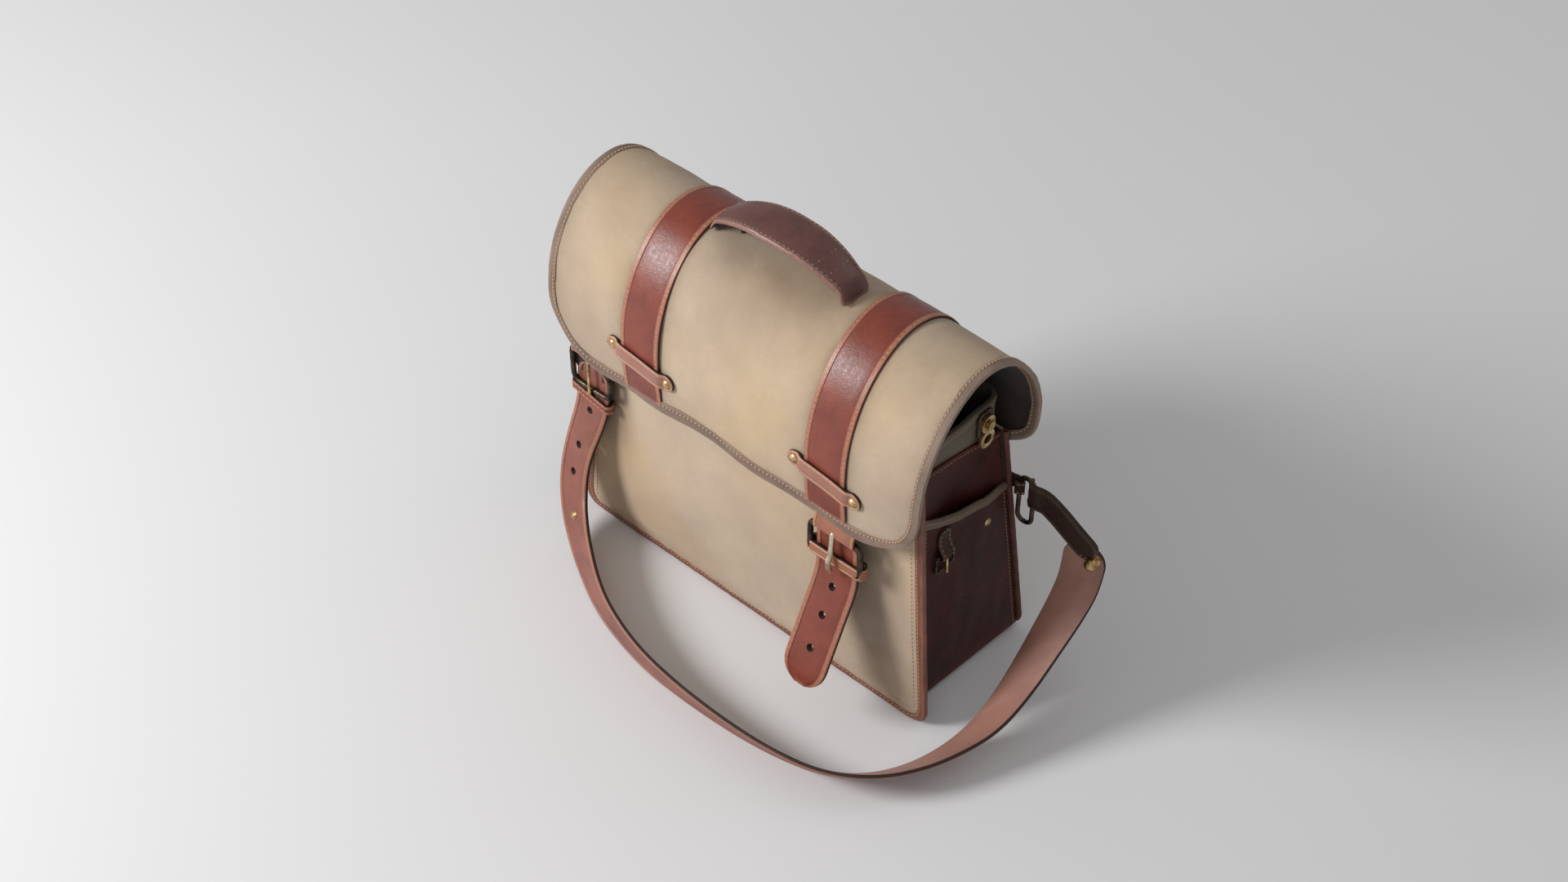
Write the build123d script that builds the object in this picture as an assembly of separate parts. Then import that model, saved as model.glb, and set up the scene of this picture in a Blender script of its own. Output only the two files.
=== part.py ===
"""Canvas and leather satchel bag: one STEP per sub-part, millimetres, +Z up.

The origin is on the floor under the middle of the bag. X runs along the bag, the front faces -Y.
"""
from build123d import *
from math import asin, cos, degrees, hypot, pi, radians, sin
import os

# ---- driving dimensions ----
PANEL_HALF = 184.5      # half the width of the back panel at the floor
TAPER = 8.0             # how much narrower each side is at the top of the walls
FRONT_HALF, FRONT_TAPER = 194.0, 20.0   # the front panel is wider, and stands out past the gussets
FRONT_FOOT, FRONT_LEAN = 77.0, -4.0     # front panel at the floor, and how far it leans out at its top
BACK_FOOT, BACK_LEAN = 66.0, 37.0       # back panel at the floor, and how far it leans in at its top
WALL_TOP = 256.0
COLLAR_TOP = 294.0
CLOTH = 3.0             # canvas and leather walls
PIPE_R = 2.75           # piping along the panel edges
PANEL_CORNER = 14.0     # rounding of the panels' bottom corners
FRONT_BULGE = 10.0
BACK_BULGE = 12.0
GUSSET_DENT = 12.0      # the gussets fold inwards by this much
INSET, INSET_TOP = 9.0, 150.0       # the gussets' front edge is set back at the floor
GAP = 0.3               # clearance between parts that move against each other
TOUCH = 0.05            # clearance between round parts that only touch

FLAP_HALF = 197.0
FLAP_Y, FLAP_Z = -27.0, 262.0       # centre of the elliptic arch
FLAP_A, FLAP_B = 75.0, 104.0        # its half depth and its height
FLAP_LOW = 203.0                    # lower edge of the flap
FLAP_TUCK = 4.0                     # how far the lower edge turns in
FLAP_CORNER = 58.0
HINGE_Z = 283.0                     # the flap folds at this height, behind the mouth, about y 45
HINGE_SLOT = 3.0
TAIL_SLOT = 4.8                     # the tail stops further from the hinge, so that the open flap clears it
BIND_W, BIND_LIFT = 9.0, 0.8        # bound edge: width, and how far it stands proud

STRAP_RIGHT, STRAP_LEFT, STRAP_W, LEATHER = 106.0, -91.0, 42.0, 2.6
KEEPER_Z, KEEPER_W, KEEPER_TILT = 250.0, 17.0, 7.0
HANDLE_X, HANDLE_Y, HANDLE_HALF = 2.0, -28.0, 62.0
HANDLE_AXIS_Z, HANDLE_TOP = 371.0, 389.0
CLOSURE_X, CLOSURE_Y, CLOSURE_Z = 113.5, -97.0, 190.0
BUCKLE_R, BUCKLE_HALF, BUCKLE_H = 2.0, 26.5, 46.0
TONGUE_W = 43.0
PIN_PLAY = 0.05
SNAP_X, SNAP_Y, SNAP_Z = 78.0, -87.5, 228.0

SIDE_Y, SIDE_Z = -45.0, 177.0       # small buckle on each side pocket
SIDE_R, SIDE_HALF, SIDE_H = 1.3, 11.0, 17.0
CLIP_Y, CLIP_Z, CLIP_DROP = 3.0, 281.0, 15.5
POCKET_LOW, POCKET_RISE = 188.0, 34.0

# shoulder strap, from the left buckle round the floor to the right ring: centre line and, at each point,
# the direction across the strap
SHOULDER_W, SHOULDER_T = 38.0, 4.0
LEFT_BUCKLE = (-170.0, -86.0, 200.0)
LEFT_RING_Z = 232.0
RIGHT_RING = (203.0, 41.1, 191.0)
SHOULDER_ROUTE = [
    (-170, -81.7, 184), (-172, -81.7, 156), (-176.5, -83.2, 128), (-185, -92, 91), (-185, -102, 63),
    (-179, -111, 35), (-156, -128, 23), (-130, -145, 20), (-98, -164, 20), (-66, -178, 20), (-18, -191, 19.8),
    (30, -195, 19.4), (84, -195, 18.9), (134, -190, 18.2), (176, -178, 17), (208, -153, 16.2), (228, -121, 16.4),
    (240, -87, 19), (248, -55, 29), (250, -22, 49), (252, 6, 78), (254, 30, 105), (255, 44, 129), (255, 46, 164)]
# how far the strap is turned about its line at each point, in degrees: 0 shows its stitched face to someone who looks
# along SHOULDER_SIGHT, 90 its upper edge and 180 its back
SHOULDER_SIGHT = (.48, -.53, .70)
SHOULDER_TURN = [39, 35, 33, 41, 46, 51, 56, 60, 64, 67, 70, 73, 76, 79, 82, 86, 92, 101, 115, 125, 133, 143, 149,
                 151]


# ---- helpers ----
def triangles(a, b, c, d):
    return [(a, b, c), (a, c, d)]


def skin(outer, inner):
    """Closed solid between two matching grids of points."""
    rows, cols = len(outer), len(outer[0])
    polygons = []
    for i in range(rows - 1):
        for j in range(cols - 1):
            polygons += triangles(outer[i][j], outer[i][j + 1], outer[i + 1][j + 1], outer[i + 1][j])
            polygons += triangles(inner[i][j], inner[i + 1][j], inner[i + 1][j + 1], inner[i][j + 1])
    rim = [(0, j) for j in range(cols)] + [(i, cols - 1) for i in range(1, rows)]
    rim += [(rows - 1, j) for j in range(cols - 2, -1, -1)] + [(i, 0) for i in range(rows - 2, 0, -1)]
    for (i, j), (k, m) in zip(rim, rim[1:] + rim[:1]):
        polygons += triangles(outer[i][j], inner[i][j], inner[k][m], outer[k][m])
    faces = [Face(Wire.make_polygon([Vector(*p) for p in polygon], close=True)) for polygon in polygons]
    solid = Solid(Shell(faces))
    return solid if solid.volume > 0 else -solid


def pushed(grid, dx=0.0, dy=0.0, dz=0.0):
    return [[(x + dx, y + dy, z + dz) for x, y, z in row] for row in grid]


def mirrored(shape):
    return shape.mirror(Plane.YZ)


def steps(a, b, n):
    return [a + (b - a) * i / n for i in range(n + 1)]


def rod(p, q, r):
    p, q = Vector(*p), Vector(*q)
    return extrude(Plane(origin=p, z_dir=q - p) * Circle(r), (q - p).length)


def half_width(z):
    return PANEL_HALF - TAPER * z / WALL_TOP


def front_half(z):
    return FRONT_HALF - FRONT_TAPER * z / WALL_TOP


def front_y(z):
    return -FRONT_FOOT - FRONT_LEAN * z / WALL_TOP


def back_y(z):
    return BACK_FOOT - BACK_LEAN * z / WALL_TOP


def inset(u, z):
    """How far a gusset or pocket is set back, u going from 0 at the front to 1 at the back."""
    return INSET * (1 - u) * max(1 - z / INSET_TOP, 0)


# ---- body ----
def panel_rows(half_at):
    """Heights of the panel rows, and the half width of each with its bottom corners rounded."""
    low = 2 * PIPE_R + TOUCH
    rows = []
    for part in (0, 15, 35, 60, 90):
        z = low + PANEL_CORNER * (1 - cos(radians(part)))
        rows.append((z, half_at(z) - PANEL_CORNER * (1 - sin(radians(part)))))
    return rows + [(z, half_at(z)) for z in steps(low + PANEL_CORNER, WALL_TOP, 9)[1:]]


def panel(wall_y, half_at, bulge, bulge_top, side):
    grid = []
    for z, half in panel_rows(half_at):
        swell = bulge * sin(pi * z / bulge_top) if z < bulge_top else 0.0
        grid.append([(x, wall_y(z) + side * swell * cos(pi * x / (2 * half_at(z))), z)
                     for x in steps(-half, half, 10)])
    return skin(grid, pushed(grid, dy=-side * CLOTH))


def panel_piping(wall_y, half_at, side):
    reach = PIPE_R + TOUCH
    y_low, y_top = wall_y(0) - side * CLOTH / 2, wall_y(WALL_TOP) - side * CLOTH / 2
    x_low, x_top = half_at(0) + reach, half_at(WALL_TOP) + reach
    path = FilletPolyline((-x_top, y_top, WALL_TOP), (-x_low, y_low, PIPE_R), (x_low, y_low, PIPE_R),
                          (x_top, y_top, WALL_TOP), radius=PANEL_CORNER + reach)
    return sweep(Plane(origin=path @ 0, z_dir=path % 0) * Circle(PIPE_R), path)


def side_span(z):
    """Where a gusset or pocket starts and ends along Y, clear of the piping."""
    seam = CLOTH / 2 + PIPE_R + 2 * TOUCH
    return front_y(z) + seam, back_y(z) - seam


def gusset():
    grid = []
    for z in steps(2 * PIPE_R, WALL_TOP, 8):
        y0, y1 = side_span(z)
        grid.append([(half_width(z) - 1.5 - inset(u, z) - GUSSET_DENT * sin(pi * u) * sin(pi * z / WALL_TOP),
                      y0 + (y1 - y0) * u, z) for u in steps(0, 1, 6)])
    return skin(grid, pushed(grid, dx=-CLOTH))


def pocket_x(z):
    return half_width(z) + 1.2


def pocket_top(u):
    return POCKET_LOW + POCKET_RISE * (1 - u) ** 2


def pocket_grid(levels):
    """levels(u) gives the heights at each place u, 0 at the front and 1 at the back."""
    grid = []
    for u in steps(0, 1, 10):
        column = []
        for z in levels(u):
            y0, y1 = side_span(z)
            column.append((pocket_x(z) - inset(u, z), y0 + (y1 - y0) * u, z))
        grid.append(column)
    return grid


def side_pocket():
    grid = pocket_grid(lambda u: steps(2 * PIPE_R + 2, pocket_top(u), 5))
    return skin(grid, pushed(grid, dx=-2.5))


def pocket_binding():
    grid = pocket_grid(lambda u: [pocket_top(u), pocket_top(u) + 5])
    return skin(pushed(grid, dx=1.0), pushed(grid, dx=-2.6))


def base_panel():
    front, back = front_y(0) + 5.4, back_y(0) - 5.4
    outline = Polyline((-173, front), (173, front), (183, back), (-183, back), close=True)
    return extrude(make_face(outline), 2 * PIPE_R)


def base_board():
    return Pos(0, 0, 2 * PIPE_R + 1.25) * Box(340, 112, 2.5)


def collar():
    y0, y1 = front_y(WALL_TOP), back_y(WALL_TOP)
    half = half_width(WALL_TOP) - 1.5
    outer = RectangleRounded(2 * half, y1 - y0, 16)
    ring = outer - RectangleRounded(2 * (half - CLOTH), y1 - y0 - 2 * CLOTH, 16 - CLOTH)
    return extrude(Plane.XY.offset(WALL_TOP) * Pos(0, (y0 + y1) / 2, 0) * ring, COLLAR_TOP - WALL_TOP)


TAIL_ROWS = [(33.2, 228.0, 36.2, 228.4, 170), (31.3, 241.0, 34.3, 240.4, 174), (36.5, 246.0, 39.3, 244.6, 190),
             (41.0, 256.0, 43.9, 254.8, FLAP_HALF), (43.6, 268.0, 46.5, 267.4, FLAP_HALF),
             (44.4, HINGE_Z - TAIL_SLOT, 47.4, HINGE_Z - TAIL_SLOT, FLAP_HALF)]


def flap_tail():
    inner = [[(x, y, z) for x in steps(BIND_W - w, w - BIND_W, 4)] for y, z, _, _, w in TAIL_ROWS]
    outer = [[(x, y, z) for x in steps(BIND_W - w, w - BIND_W, 4)] for _, _, y, z, w in TAIL_ROWS]
    return skin(outer, inner)


def tail_binding():
    start = BIND_W - GAP
    inner, outer = [], []
    for y0, z0, y1, z1, w in TAIL_ROWS:
        lift = BIND_LIFT if z0 > 245 else 0.0
        inner.append([(w - start, y0 - lift, z0), (w, y0 - lift, z0)])
        outer.append([(w - start, y1 + BIND_LIFT, z1), (w, y1 + BIND_LIFT, z1)])
    return skin(outer, inner)


# ---- flap ----
def skirt(z):
    """Point and outward normal of the flap's outer face on its front skirt, at height z."""
    depth = (FLAP_Z - z) / (FLAP_Z - FLAP_LOW)
    slope = -2 * FLAP_TUCK * depth / (FLAP_Z - FLAP_LOW)
    size = hypot(1, slope)
    return FLAP_Y - FLAP_A + FLAP_TUCK * depth ** 2, z, -1 / size, slope / size


def arch(angle):
    """Point and outward normal of the flap's outer face on its arch."""
    ny, nz = cos(radians(angle)) / FLAP_A, sin(radians(angle)) / FLAP_B
    size = hypot(ny, nz)
    return FLAP_Y + FLAP_A * cos(radians(angle)), FLAP_Z + FLAP_B * sin(radians(angle)), ny / size, nz / size


CORNER_Z = FLAP_LOW + FLAP_CORNER
CORNER_X = FLAP_HALF - FLAP_CORNER
CORNER_ANGLES = steps(0, 90, 7)[1:]
FIRST_ANGLE = degrees(asin((HINGE_Z + HINGE_SLOT - FLAP_Z) / FLAP_B))
ARCH_ROWS = [arch(a) for a in steps(FIRST_ANGLE, 180, 24)] + [skirt(CORNER_Z)]


def lifted(row, x, lift):
    y, z, ny, nz = row
    return (x, y + ny * lift, z + nz * lift)


def flap_cover():
    small = FLAP_CORNER - BIND_W
    rows = [(row, FLAP_HALF - BIND_W) for row in ARCH_ROWS]
    rows += [(skirt(CORNER_Z - small * sin(radians(a))), CORNER_X + small * cos(radians(a)))
             for a in CORNER_ANGLES]
    outer = [[lifted(row, x, 0) for x in (-w, 0, w)] for row, w in rows]
    inner = [[lifted(row, x, -CLOTH) for x in (-w, 0, w)] for row, w in rows]
    return skin(outer, inner)


def flap_binding():
    """Bound edge along one end, the lower edge and the other end."""
    def rim(inset, lift):
        r = FLAP_CORNER - inset
        end = [lifted(row, FLAP_HALF - inset, lift) for row in ARCH_ROWS]
        corner = [lifted(skirt(CORNER_Z - r * sin(radians(a))), CORNER_X + r * cos(radians(a)), lift)
                  for a in CORNER_ANGLES]
        half = end + corner
        return half + [(-x, y, z) for x, y, z in reversed(half)]
    def side(lift):
        return [[p, q] for p, q in zip(rim(0, lift), rim(BIND_W, lift))]
    return skin(side(BIND_LIFT), side(-CLOTH - BIND_LIFT))


def flap_strap(middle):
    small = FLAP_CORNER - BIND_W
    rows = ARCH_ROWS[1:] + [skirt(CORNER_Z - small * sin(radians(a))) for a in CORNER_ANGLES]
    edges = (middle - STRAP_W / 2, middle + STRAP_W / 2)
    return skin([[lifted(row, x, LEATHER) for x in edges] for row in rows],
                [[lifted(row, x, 0) for x in edges] for row in rows])


KEEPER_RIVET = 30.5


def keeper_place(x):
    return Pos(x, FLAP_Y - FLAP_A, KEEPER_Z) * Rot(0, KEEPER_TILT, 0)


def keeper(x):
    low, end, top, strap = 0.1, 2.4, LEATHER + 2.4, STRAP_W / 2 + 1.6
    outline = [(-37, -low), (-37, -end), (-25.5, -end), (-23.5, -top), (23.5, -top), (25.5, -end), (37, -end),
               (37, -low), (strap, -low), (strap, -LEATHER - 0.3), (-strap, -LEATHER - 0.3), (-strap, -low)]
    bridge = extrude(make_face(Polyline(*outline, close=True)), KEEPER_W / 2, both=True)
    for side in (-1, 1):
        bridge -= rod((side * KEEPER_RIVET, 5, 0), (side * KEEPER_RIVET, -9, 0), 1.6)
    return keeper_place(x) * bridge


def keeper_rivets(x):
    pair = []
    for side in (-1, 1):
        u = side * KEEPER_RIVET
        pair.append(keeper_place(x) * (rod((u, -0.1, 0), (u, -3.0, 0), 1.5) + rod((u, -2.4, 0), (u, -4.4, 0), 4.5)))
    return pair


# ---- handle ----
def handle():
    def station(x):
        u = abs(x - HANDLE_X) / HANDLE_HALF
        foot = HANDLE_AXIS_Z + 3.5
        return foot + (HANDLE_TOP - 5 - foot) * (1 - u ** 2.4), 17.5 - 5.5 * u ** 2
    lower, upper = [], []
    for x in steps(HANDLE_X - HANDLE_HALF, HANDLE_X + HANDLE_HALF, 16):
        z, half = station(x)
        lower.append([(x, HANDLE_Y + y, z) for y in (-half, 0, half)])
        upper.append([(x, HANDLE_Y - half, z + 4), (x, HANDLE_Y, z + 5), (x, HANDLE_Y + half, z + 4)])
    grip = skin(upper, lower)
    for side in (-1, 1):
        x = HANDLE_X + side * (HANDLE_HALF - 7)
        grip += rod((x - 5, HANDLE_Y, HANDLE_AXIS_Z), (x + 5, HANDLE_Y, HANDLE_AXIS_Z), 4.2)
        grip += Pos(x, HANDLE_Y, HANDLE_AXIS_Z + 5.5) * Box(10, 5, 7)
    for side in (-1, 1):
        x = HANDLE_X + side * (HANDLE_HALF - 7)
        grip -= rod((x - 9, HANDLE_Y, HANDLE_AXIS_Z), (x + 9, HANDLE_Y, HANDLE_AXIS_Z), 2.0 + PIN_PLAY)
    return grip


def handle_staples():
    foot = FLAP_Z + FLAP_B + 0.1
    pair = []
    for side in (-1, 1):
        x = HANDLE_X + side * (HANDLE_HALF - 7)
        staple = rod((x - 8, HANDLE_Y, HANDLE_AXIS_Z), (x + 8, HANDLE_Y, HANDLE_AXIS_Z), 2.0)
        for leg in (-8, 8):
            staple += rod((x + leg, HANDLE_Y, foot), (x + leg, HANDLE_Y, HANDLE_AXIS_Z), 2.0)
            staple += Pos(x + leg, HANDLE_Y, HANDLE_AXIS_Z) * Sphere(2.0)
        pair.append(staple)
    return pair


# ---- buckles: local frame has the hinge bar along X at the origin, front to -Y, the frame hangs down ----
def wire_loop(x0, x1, z0, z1, bend, r):
    """Round wire bent into a closed rectangle in the XZ plane."""
    path = FilletPolyline((x0, 0, z0), (x1, 0, z0), (x1, 0, z1), (x0, 0, z1), radius=bend, close=True)
    return sweep(Plane(origin=path @ 0, z_dir=path % 0) * Circle(r), path)


def buckle_frame(half, height, r):
    return wire_loop(-half, half, -height, 0, 2.4 * r, r)


def buckle_eye(x0, x1, bar_r, wall):
    return rod((x0, 0, 0), (x1, 0, 0), bar_r + PIN_PLAY + wall)


def bored(shape, x0, x1, bar_r):
    return shape - rod((x0 - 1, 0, 0), (x1 + 1, 0, 0), bar_r + PIN_PLAY)


def buckle_prong(height, bar_r, r, eye_half):
    lean = bar_r + r + GAP
    prong = buckle_eye(-eye_half, eye_half, bar_r, r)
    prong += rod((0, -bar_r - PIN_PLAY - r / 2, 0), (0, -lean, -height - 3), r)
    return bored(prong, -eye_half, eye_half, bar_r)


CLOSURE = Pos(CLOSURE_X, CLOSURE_Y, CLOSURE_Z)


def closure_chape():
    eyes = buckle_eye(-16, 16, BUCKLE_R, 1.7)
    eyes += Pos(0, 4.5, 20) * Box(32, 3, 44)
    eyes -= Pos(0, 0, -1) * Box(7.4, 9, 14)
    return CLOSURE * bored(eyes, -16, 16, BUCKLE_R)


def closure_tongue():
    front, back = 2.1, 6.1
    profile = Polyline((front, -8), (back, -8), (back, -50.7), (-39.5, -150), (-43.2, -148), (front, -50),
                       close=True)
    body = extrude(Plane.YZ * make_face(profile), TONGUE_W / 2, both=True)
    outline = Pos(0, -56.75) * Rectangle(TONGUE_W, 137.5) + Pos(0, -125.5) * Circle(TONGUE_W / 2)
    cut = extrude(Plane.XZ * outline, 60, both=True)
    tongue = body & cut
    for drop in (60, 87, 114):
        tongue -= rod((0, 30, -drop), (0, -60, -drop), 2.3)
    return CLOSURE * tongue


def closure_loop():
    ring = Rectangle(TONGUE_W + 4.4, 8.2) - Rectangle(TONGUE_W + 0.5, 4.2)
    return CLOSURE * Pos(0, 4.1, -34) * extrude(ring, 10)


def snap_halves():
    """Magnetic snap: sockets on the front panel, studs inside the flap."""
    sockets, studs = [], []
    for x in (-SNAP_X, SNAP_X):
        sockets.append(rod((x, -77.9, SNAP_Z), (x, SNAP_Y, SNAP_Z), 8))
        studs.append(rod((x, SNAP_Y - GAP, SNAP_Z), (x, -96.9, SNAP_Z), 8))
    return sockets, studs


# ---- side hardware, made for the right side ----
def on_side(y, z):
    return Pos(pocket_x(z) + SIDE_R + PIN_PLAY + 1.5 + 0.1, y, z) * Rot(0, 0, 90)


def side_tab():
    grid = [[(pocket_x(z) + 0.1, y, z) for y in (SIDE_Y - 7.5, SIDE_Y + 7.5)] for z in (SIDE_Z, SIDE_Z + 25)]
    eye = on_side(SIDE_Y, SIDE_Z) * buckle_eye(-7.5, 7.5, SIDE_R, 1.5)
    tab = skin(pushed(grid, dx=2.5), grid) + eye
    tab -= on_side(SIDE_Y, SIDE_Z) * Pos(0, -1, -1) * Box(5, 12, 10)
    return tab - on_side(SIDE_Y, SIDE_Z) * rod((-10, 0, 0), (10, 0, 0), SIDE_R + PIN_PLAY)


def side_buckle():
    return on_side(SIDE_Y, SIDE_Z) * buckle_frame(SIDE_HALF, SIDE_H, SIDE_R)


def side_prong():
    return on_side(SIDE_Y, SIDE_Z) * buckle_prong(SIDE_H, SIDE_R, 1.1, 2.2)


def clip_tab():
    return Pos(half_width(WALL_TOP) - 1.5 + 1.3, CLIP_Y, 278) * Box(2.4, 18, 28)


def clip_stud():
    x = half_width(WALL_TOP) + 1.0
    return rod((x, CLIP_Y, CLIP_Z), (x + 5.2, CLIP_Y, CLIP_Z), 2.5) + rod((x + 4.4, CLIP_Y, CLIP_Z),
                                                                      (x + 6.2, CLIP_Y, CLIP_Z), 4.2)


def brass_clip():
    x = half_width(WALL_TOP) + 1.6
    plate = Circle(8) + Pos(0, -CLIP_DROP) * Circle(8.5)
    plate -= Circle(2.5 + PIN_PLAY)
    plate -= Pos(0, -CLIP_DROP) * Circle(4.6)
    return extrude(Plane(origin=(x, CLIP_Y, CLIP_Z), x_dir=(0, 1, 0), z_dir=(1, 0, 0)) * plate, 2.5)


def gusset_rivet():
    y, z = 12.0, 166.0
    x = pocket_x(z) + 0.2
    return rod((x, y, z), (x + 1.8, y, z), 4)


# ---- shoulder strap ----
def strap_axes(route, across, i):
    """Point, unit vector across and outward normal of a flat strap at one point of its route."""
    before, after = Vector(*route[max(i - 1, 0)]), Vector(*route[min(i + 1, len(route) - 1)])
    ahead = (after - before).normalized()
    wide = Vector(*across[i])
    wide = (wide - ahead * wide.dot(ahead)).normalized()
    return Vector(*route[i]), wide, ahead.cross(wide).normalized()


def turned(route, turns):
    """Direction across a strap at each point of its route, from its turn."""
    across = []
    for i, turn in enumerate(turns):
        before, after = Vector(*route[max(i - 1, 0)]), Vector(*route[min(i + 1, len(route) - 1)])
        ahead = (after - before).normalized()
        sight = Vector(*SHOULDER_SIGHT)
        edge_on = (sight - ahead * sight.dot(ahead)).normalized()
        face_on = edge_on.cross(ahead)
        across.append(tuple(face_on * cos(radians(turn)) + edge_on * sin(radians(turn))))
    return across


SHOULDER_ACROSS = turned(SHOULDER_ROUTE, SHOULDER_TURN)


def ribbon(route, across, width, thick):
    """Flat strap along a route, with the direction across it given at each point."""
    top, bottom = [], []
    for i in range(len(route)):
        point, wide, up = strap_axes(route, across, i)
        wide, up = wide * (width / 2), up * (thick / 2)
        top.append([tuple(point - wide + up), tuple(point + wide + up)])
        bottom.append([tuple(point - wide - up), tuple(point + wide - up)])
    return skin(top, bottom)


def eased(points):
    """Cut every corner of a route, so that it bends in smaller turns."""
    out = [points[0]]
    for a, b in zip(points, points[1:]):
        for share in (0.25, 0.75):
            out.append(tuple(p + (q - p) * share for p, q in zip(a, b)))
    return out + [points[-1]]


def shoulder_strap():
    return ribbon(eased(SHOULDER_ROUTE), eased(SHOULDER_ACROSS), SHOULDER_W, SHOULDER_T)


LEFT = Pos(*LEFT_BUCKLE)


def strap_buckle():
    return LEFT * buckle_frame(22.5, 40, BUCKLE_R)


def strap_prong():
    return LEFT * buckle_prong(40, BUCKLE_R, 1.5, 3.0)


def strap_chape():
    rise = LEFT_RING_Z - LEFT_BUCKLE[2]
    chape = buckle_eye(-15, 15, BUCKLE_R, 1.7) + Pos(0, 0, rise) * buckle_eye(-15, 15, BUCKLE_R, 1.7)
    chape += Pos(0, 1.9, rise / 2) * Box(30, 3, rise)
    chape -= Pos(0, -1, -1) * Box(7, 12, 14)
    for z in (0, rise):
        chape -= Pos(0, 0, z) * rod((-20, 0, 0), (20, 0, 0), BUCKLE_R + PIN_PLAY)
    return LEFT * chape


def strap_keeper():
    ring = Rectangle(44.4, 10.4) - Rectangle(40.6, 6.6)
    return Pos(-173.0, -82.8, 146) * extrude(ring, 8)


def left_ring():
    x, y, _ = LEFT_BUCKLE
    return Pos(x, y, LEFT_RING_Z) * wire_loop(-19, 19, 0, 14, 3, BUCKLE_R)


def left_ring_tab():
    x, y, _ = LEFT_BUCKLE
    z = LEFT_RING_Z + 14
    back = front_y(z + 4) - 0.4
    tab = rod((x - 6, y, z), (x + 6, y, z), BUCKLE_R + PIN_PLAY + 1.8)
    tab += Pos(x, (y + back) / 2, z) * Box(12, back - y, 7)
    return tab - rod((x - 8, y, z), (x + 8, y, z), BUCKLE_R + PIN_PLAY)


def right_ring():
    x, y, z = RIGHT_RING
    return Pos(x, y, z) * wire_loop(-14, 0, -36, 12, 6.5, BUCKLE_R)


def right_ring_tab():
    x, y, z = RIGHT_RING
    x -= 14
    grid = [[(u, back_y(v) + 1.6, v) for u in (158, x - 2.6)] for v in (z - 5, z + 4)]
    tab = skin(pushed(grid, dy=3), grid) + rod((x, y, z - 5), (x, y, z + 4), BUCKLE_R + PIN_PLAY + 1.8)
    return tab - rod((x, y, z - 9), (x, y, z + 9), BUCKLE_R + PIN_PLAY)


def strap_end_tab():
    x, y, z = RIGHT_RING
    route = [(x + 2.6, y, z), (x + 12, y - .4, z - .4), (x + 26, y - .7, z - 7), (x + 40, y - .8, z - 15),
             (x + 54, y - .8, z - 23)]
    across = [(0, 0, 1), (.1, 0, 1), (.3, 0, 1), (.45, 0, 1), (.5, 0, 1)]
    eye = rod((x, y, z - 6), (x, y, z + 6), BUCKLE_R + PIN_PLAY + 1.8)
    tab = ribbon(route, across, 15, 3) + eye
    return tab - rod((x, y, z - 9), (x, y, z + 9), BUCKLE_R + PIN_PLAY)


def strap_rivets():
    route, across = eased(SHOULDER_ROUTE), eased(SHOULDER_ACROSS)
    caps = []
    for i, shift, side, r, high in ((14, 0, 1, 4.0, 2.0), (len(route) - 2, 10, -1, 6.0, 5.0)):
        point, wide, up = strap_axes(route, across, i)
        foot = point + wide * shift + up * side * (SHOULDER_T / 2 + 3 * GAP)
        caps.append(rod(tuple(foot), tuple(foot + up * side * high), r))
    return caps


def write(name, shape):
    solids = shape if isinstance(shape, list) else [shape]
    solids = [s for item in solids for s in item.solids()]
    out = solids[0] if len(solids) == 1 else Compound(children=solids)
    export_step(out, f"parts/{name}.step")


def main():
    os.makedirs("parts", exist_ok=True)
    sockets, studs = snap_halves()
    nodes = {
        "front_panel": panel(front_y, front_half, FRONT_BULGE, WALL_TOP, -1),
        "back_panel": panel(back_y, half_width, BACK_BULGE, 208.0, 1),
        "front_piping": panel_piping(front_y, front_half, -1),
        "back_piping": panel_piping(back_y, half_width, 1),
        "base_panel": base_panel(),
        "base_board": base_board(),
        "collar": collar(),
        "flap_tail": flap_tail(),
        "tail_binding": [tail_binding(), mirrored(tail_binding())],
        "snap_sockets": sockets,
        "flap_cover": flap_cover(),
        "flap_binding": flap_binding(),
        "snap_studs": studs,
        "handle": handle(),
        "handle_staples": handle_staples(),
        "closure_chape": closure_chape(),
        "closure_buckle": CLOSURE * buckle_frame(BUCKLE_HALF, BUCKLE_H, BUCKLE_R),
        "closure_prong": CLOSURE * buckle_prong(BUCKLE_H, BUCKLE_R, 1.5, 3.0),
        "closure_loop": closure_loop(),
        "closure_tongue": closure_tongue(),
        "gusset_rivets": [gusset_rivet(), mirrored(gusset_rivet())],
        "shoulder_strap": shoulder_strap(),
        "strap_chape": strap_chape(),
        "strap_buckle": strap_buckle(),
        "strap_prong": strap_prong(),
        "strap_keeper": strap_keeper(),
        "strap_rivets": strap_rivets(),
        "strap_end_tab": strap_end_tab(),
        "ring_left": left_ring(),
        "ring_tab_left": left_ring_tab(),
        "ring_right": right_ring(),
        "ring_tab_right": right_ring_tab(),
        "keeper_rivets": keeper_rivets(STRAP_LEFT) + keeper_rivets(STRAP_RIGHT),
    }
    paired = {"gusset": gusset, "side_pocket": side_pocket, "pocket_binding": pocket_binding,
              "side_tab": side_tab, "side_buckle": side_buckle, "side_prong": side_prong, "clip_tab": clip_tab,
              "clip_stud": clip_stud, "brass_clip": brass_clip}
    for name, make in paired.items():
        shape = make()
        nodes[f"{name}_right"] = shape
        nodes[f"{name}_left"] = mirrored(shape)
    for word, x in (("right", STRAP_RIGHT), ("left", STRAP_LEFT)):
        nodes[f"flap_strap_{word}"] = flap_strap(x)
        nodes[f"keeper_{word}"] = keeper(x)
    for name, shape in nodes.items():
        write(name, shape)


main()
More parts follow.
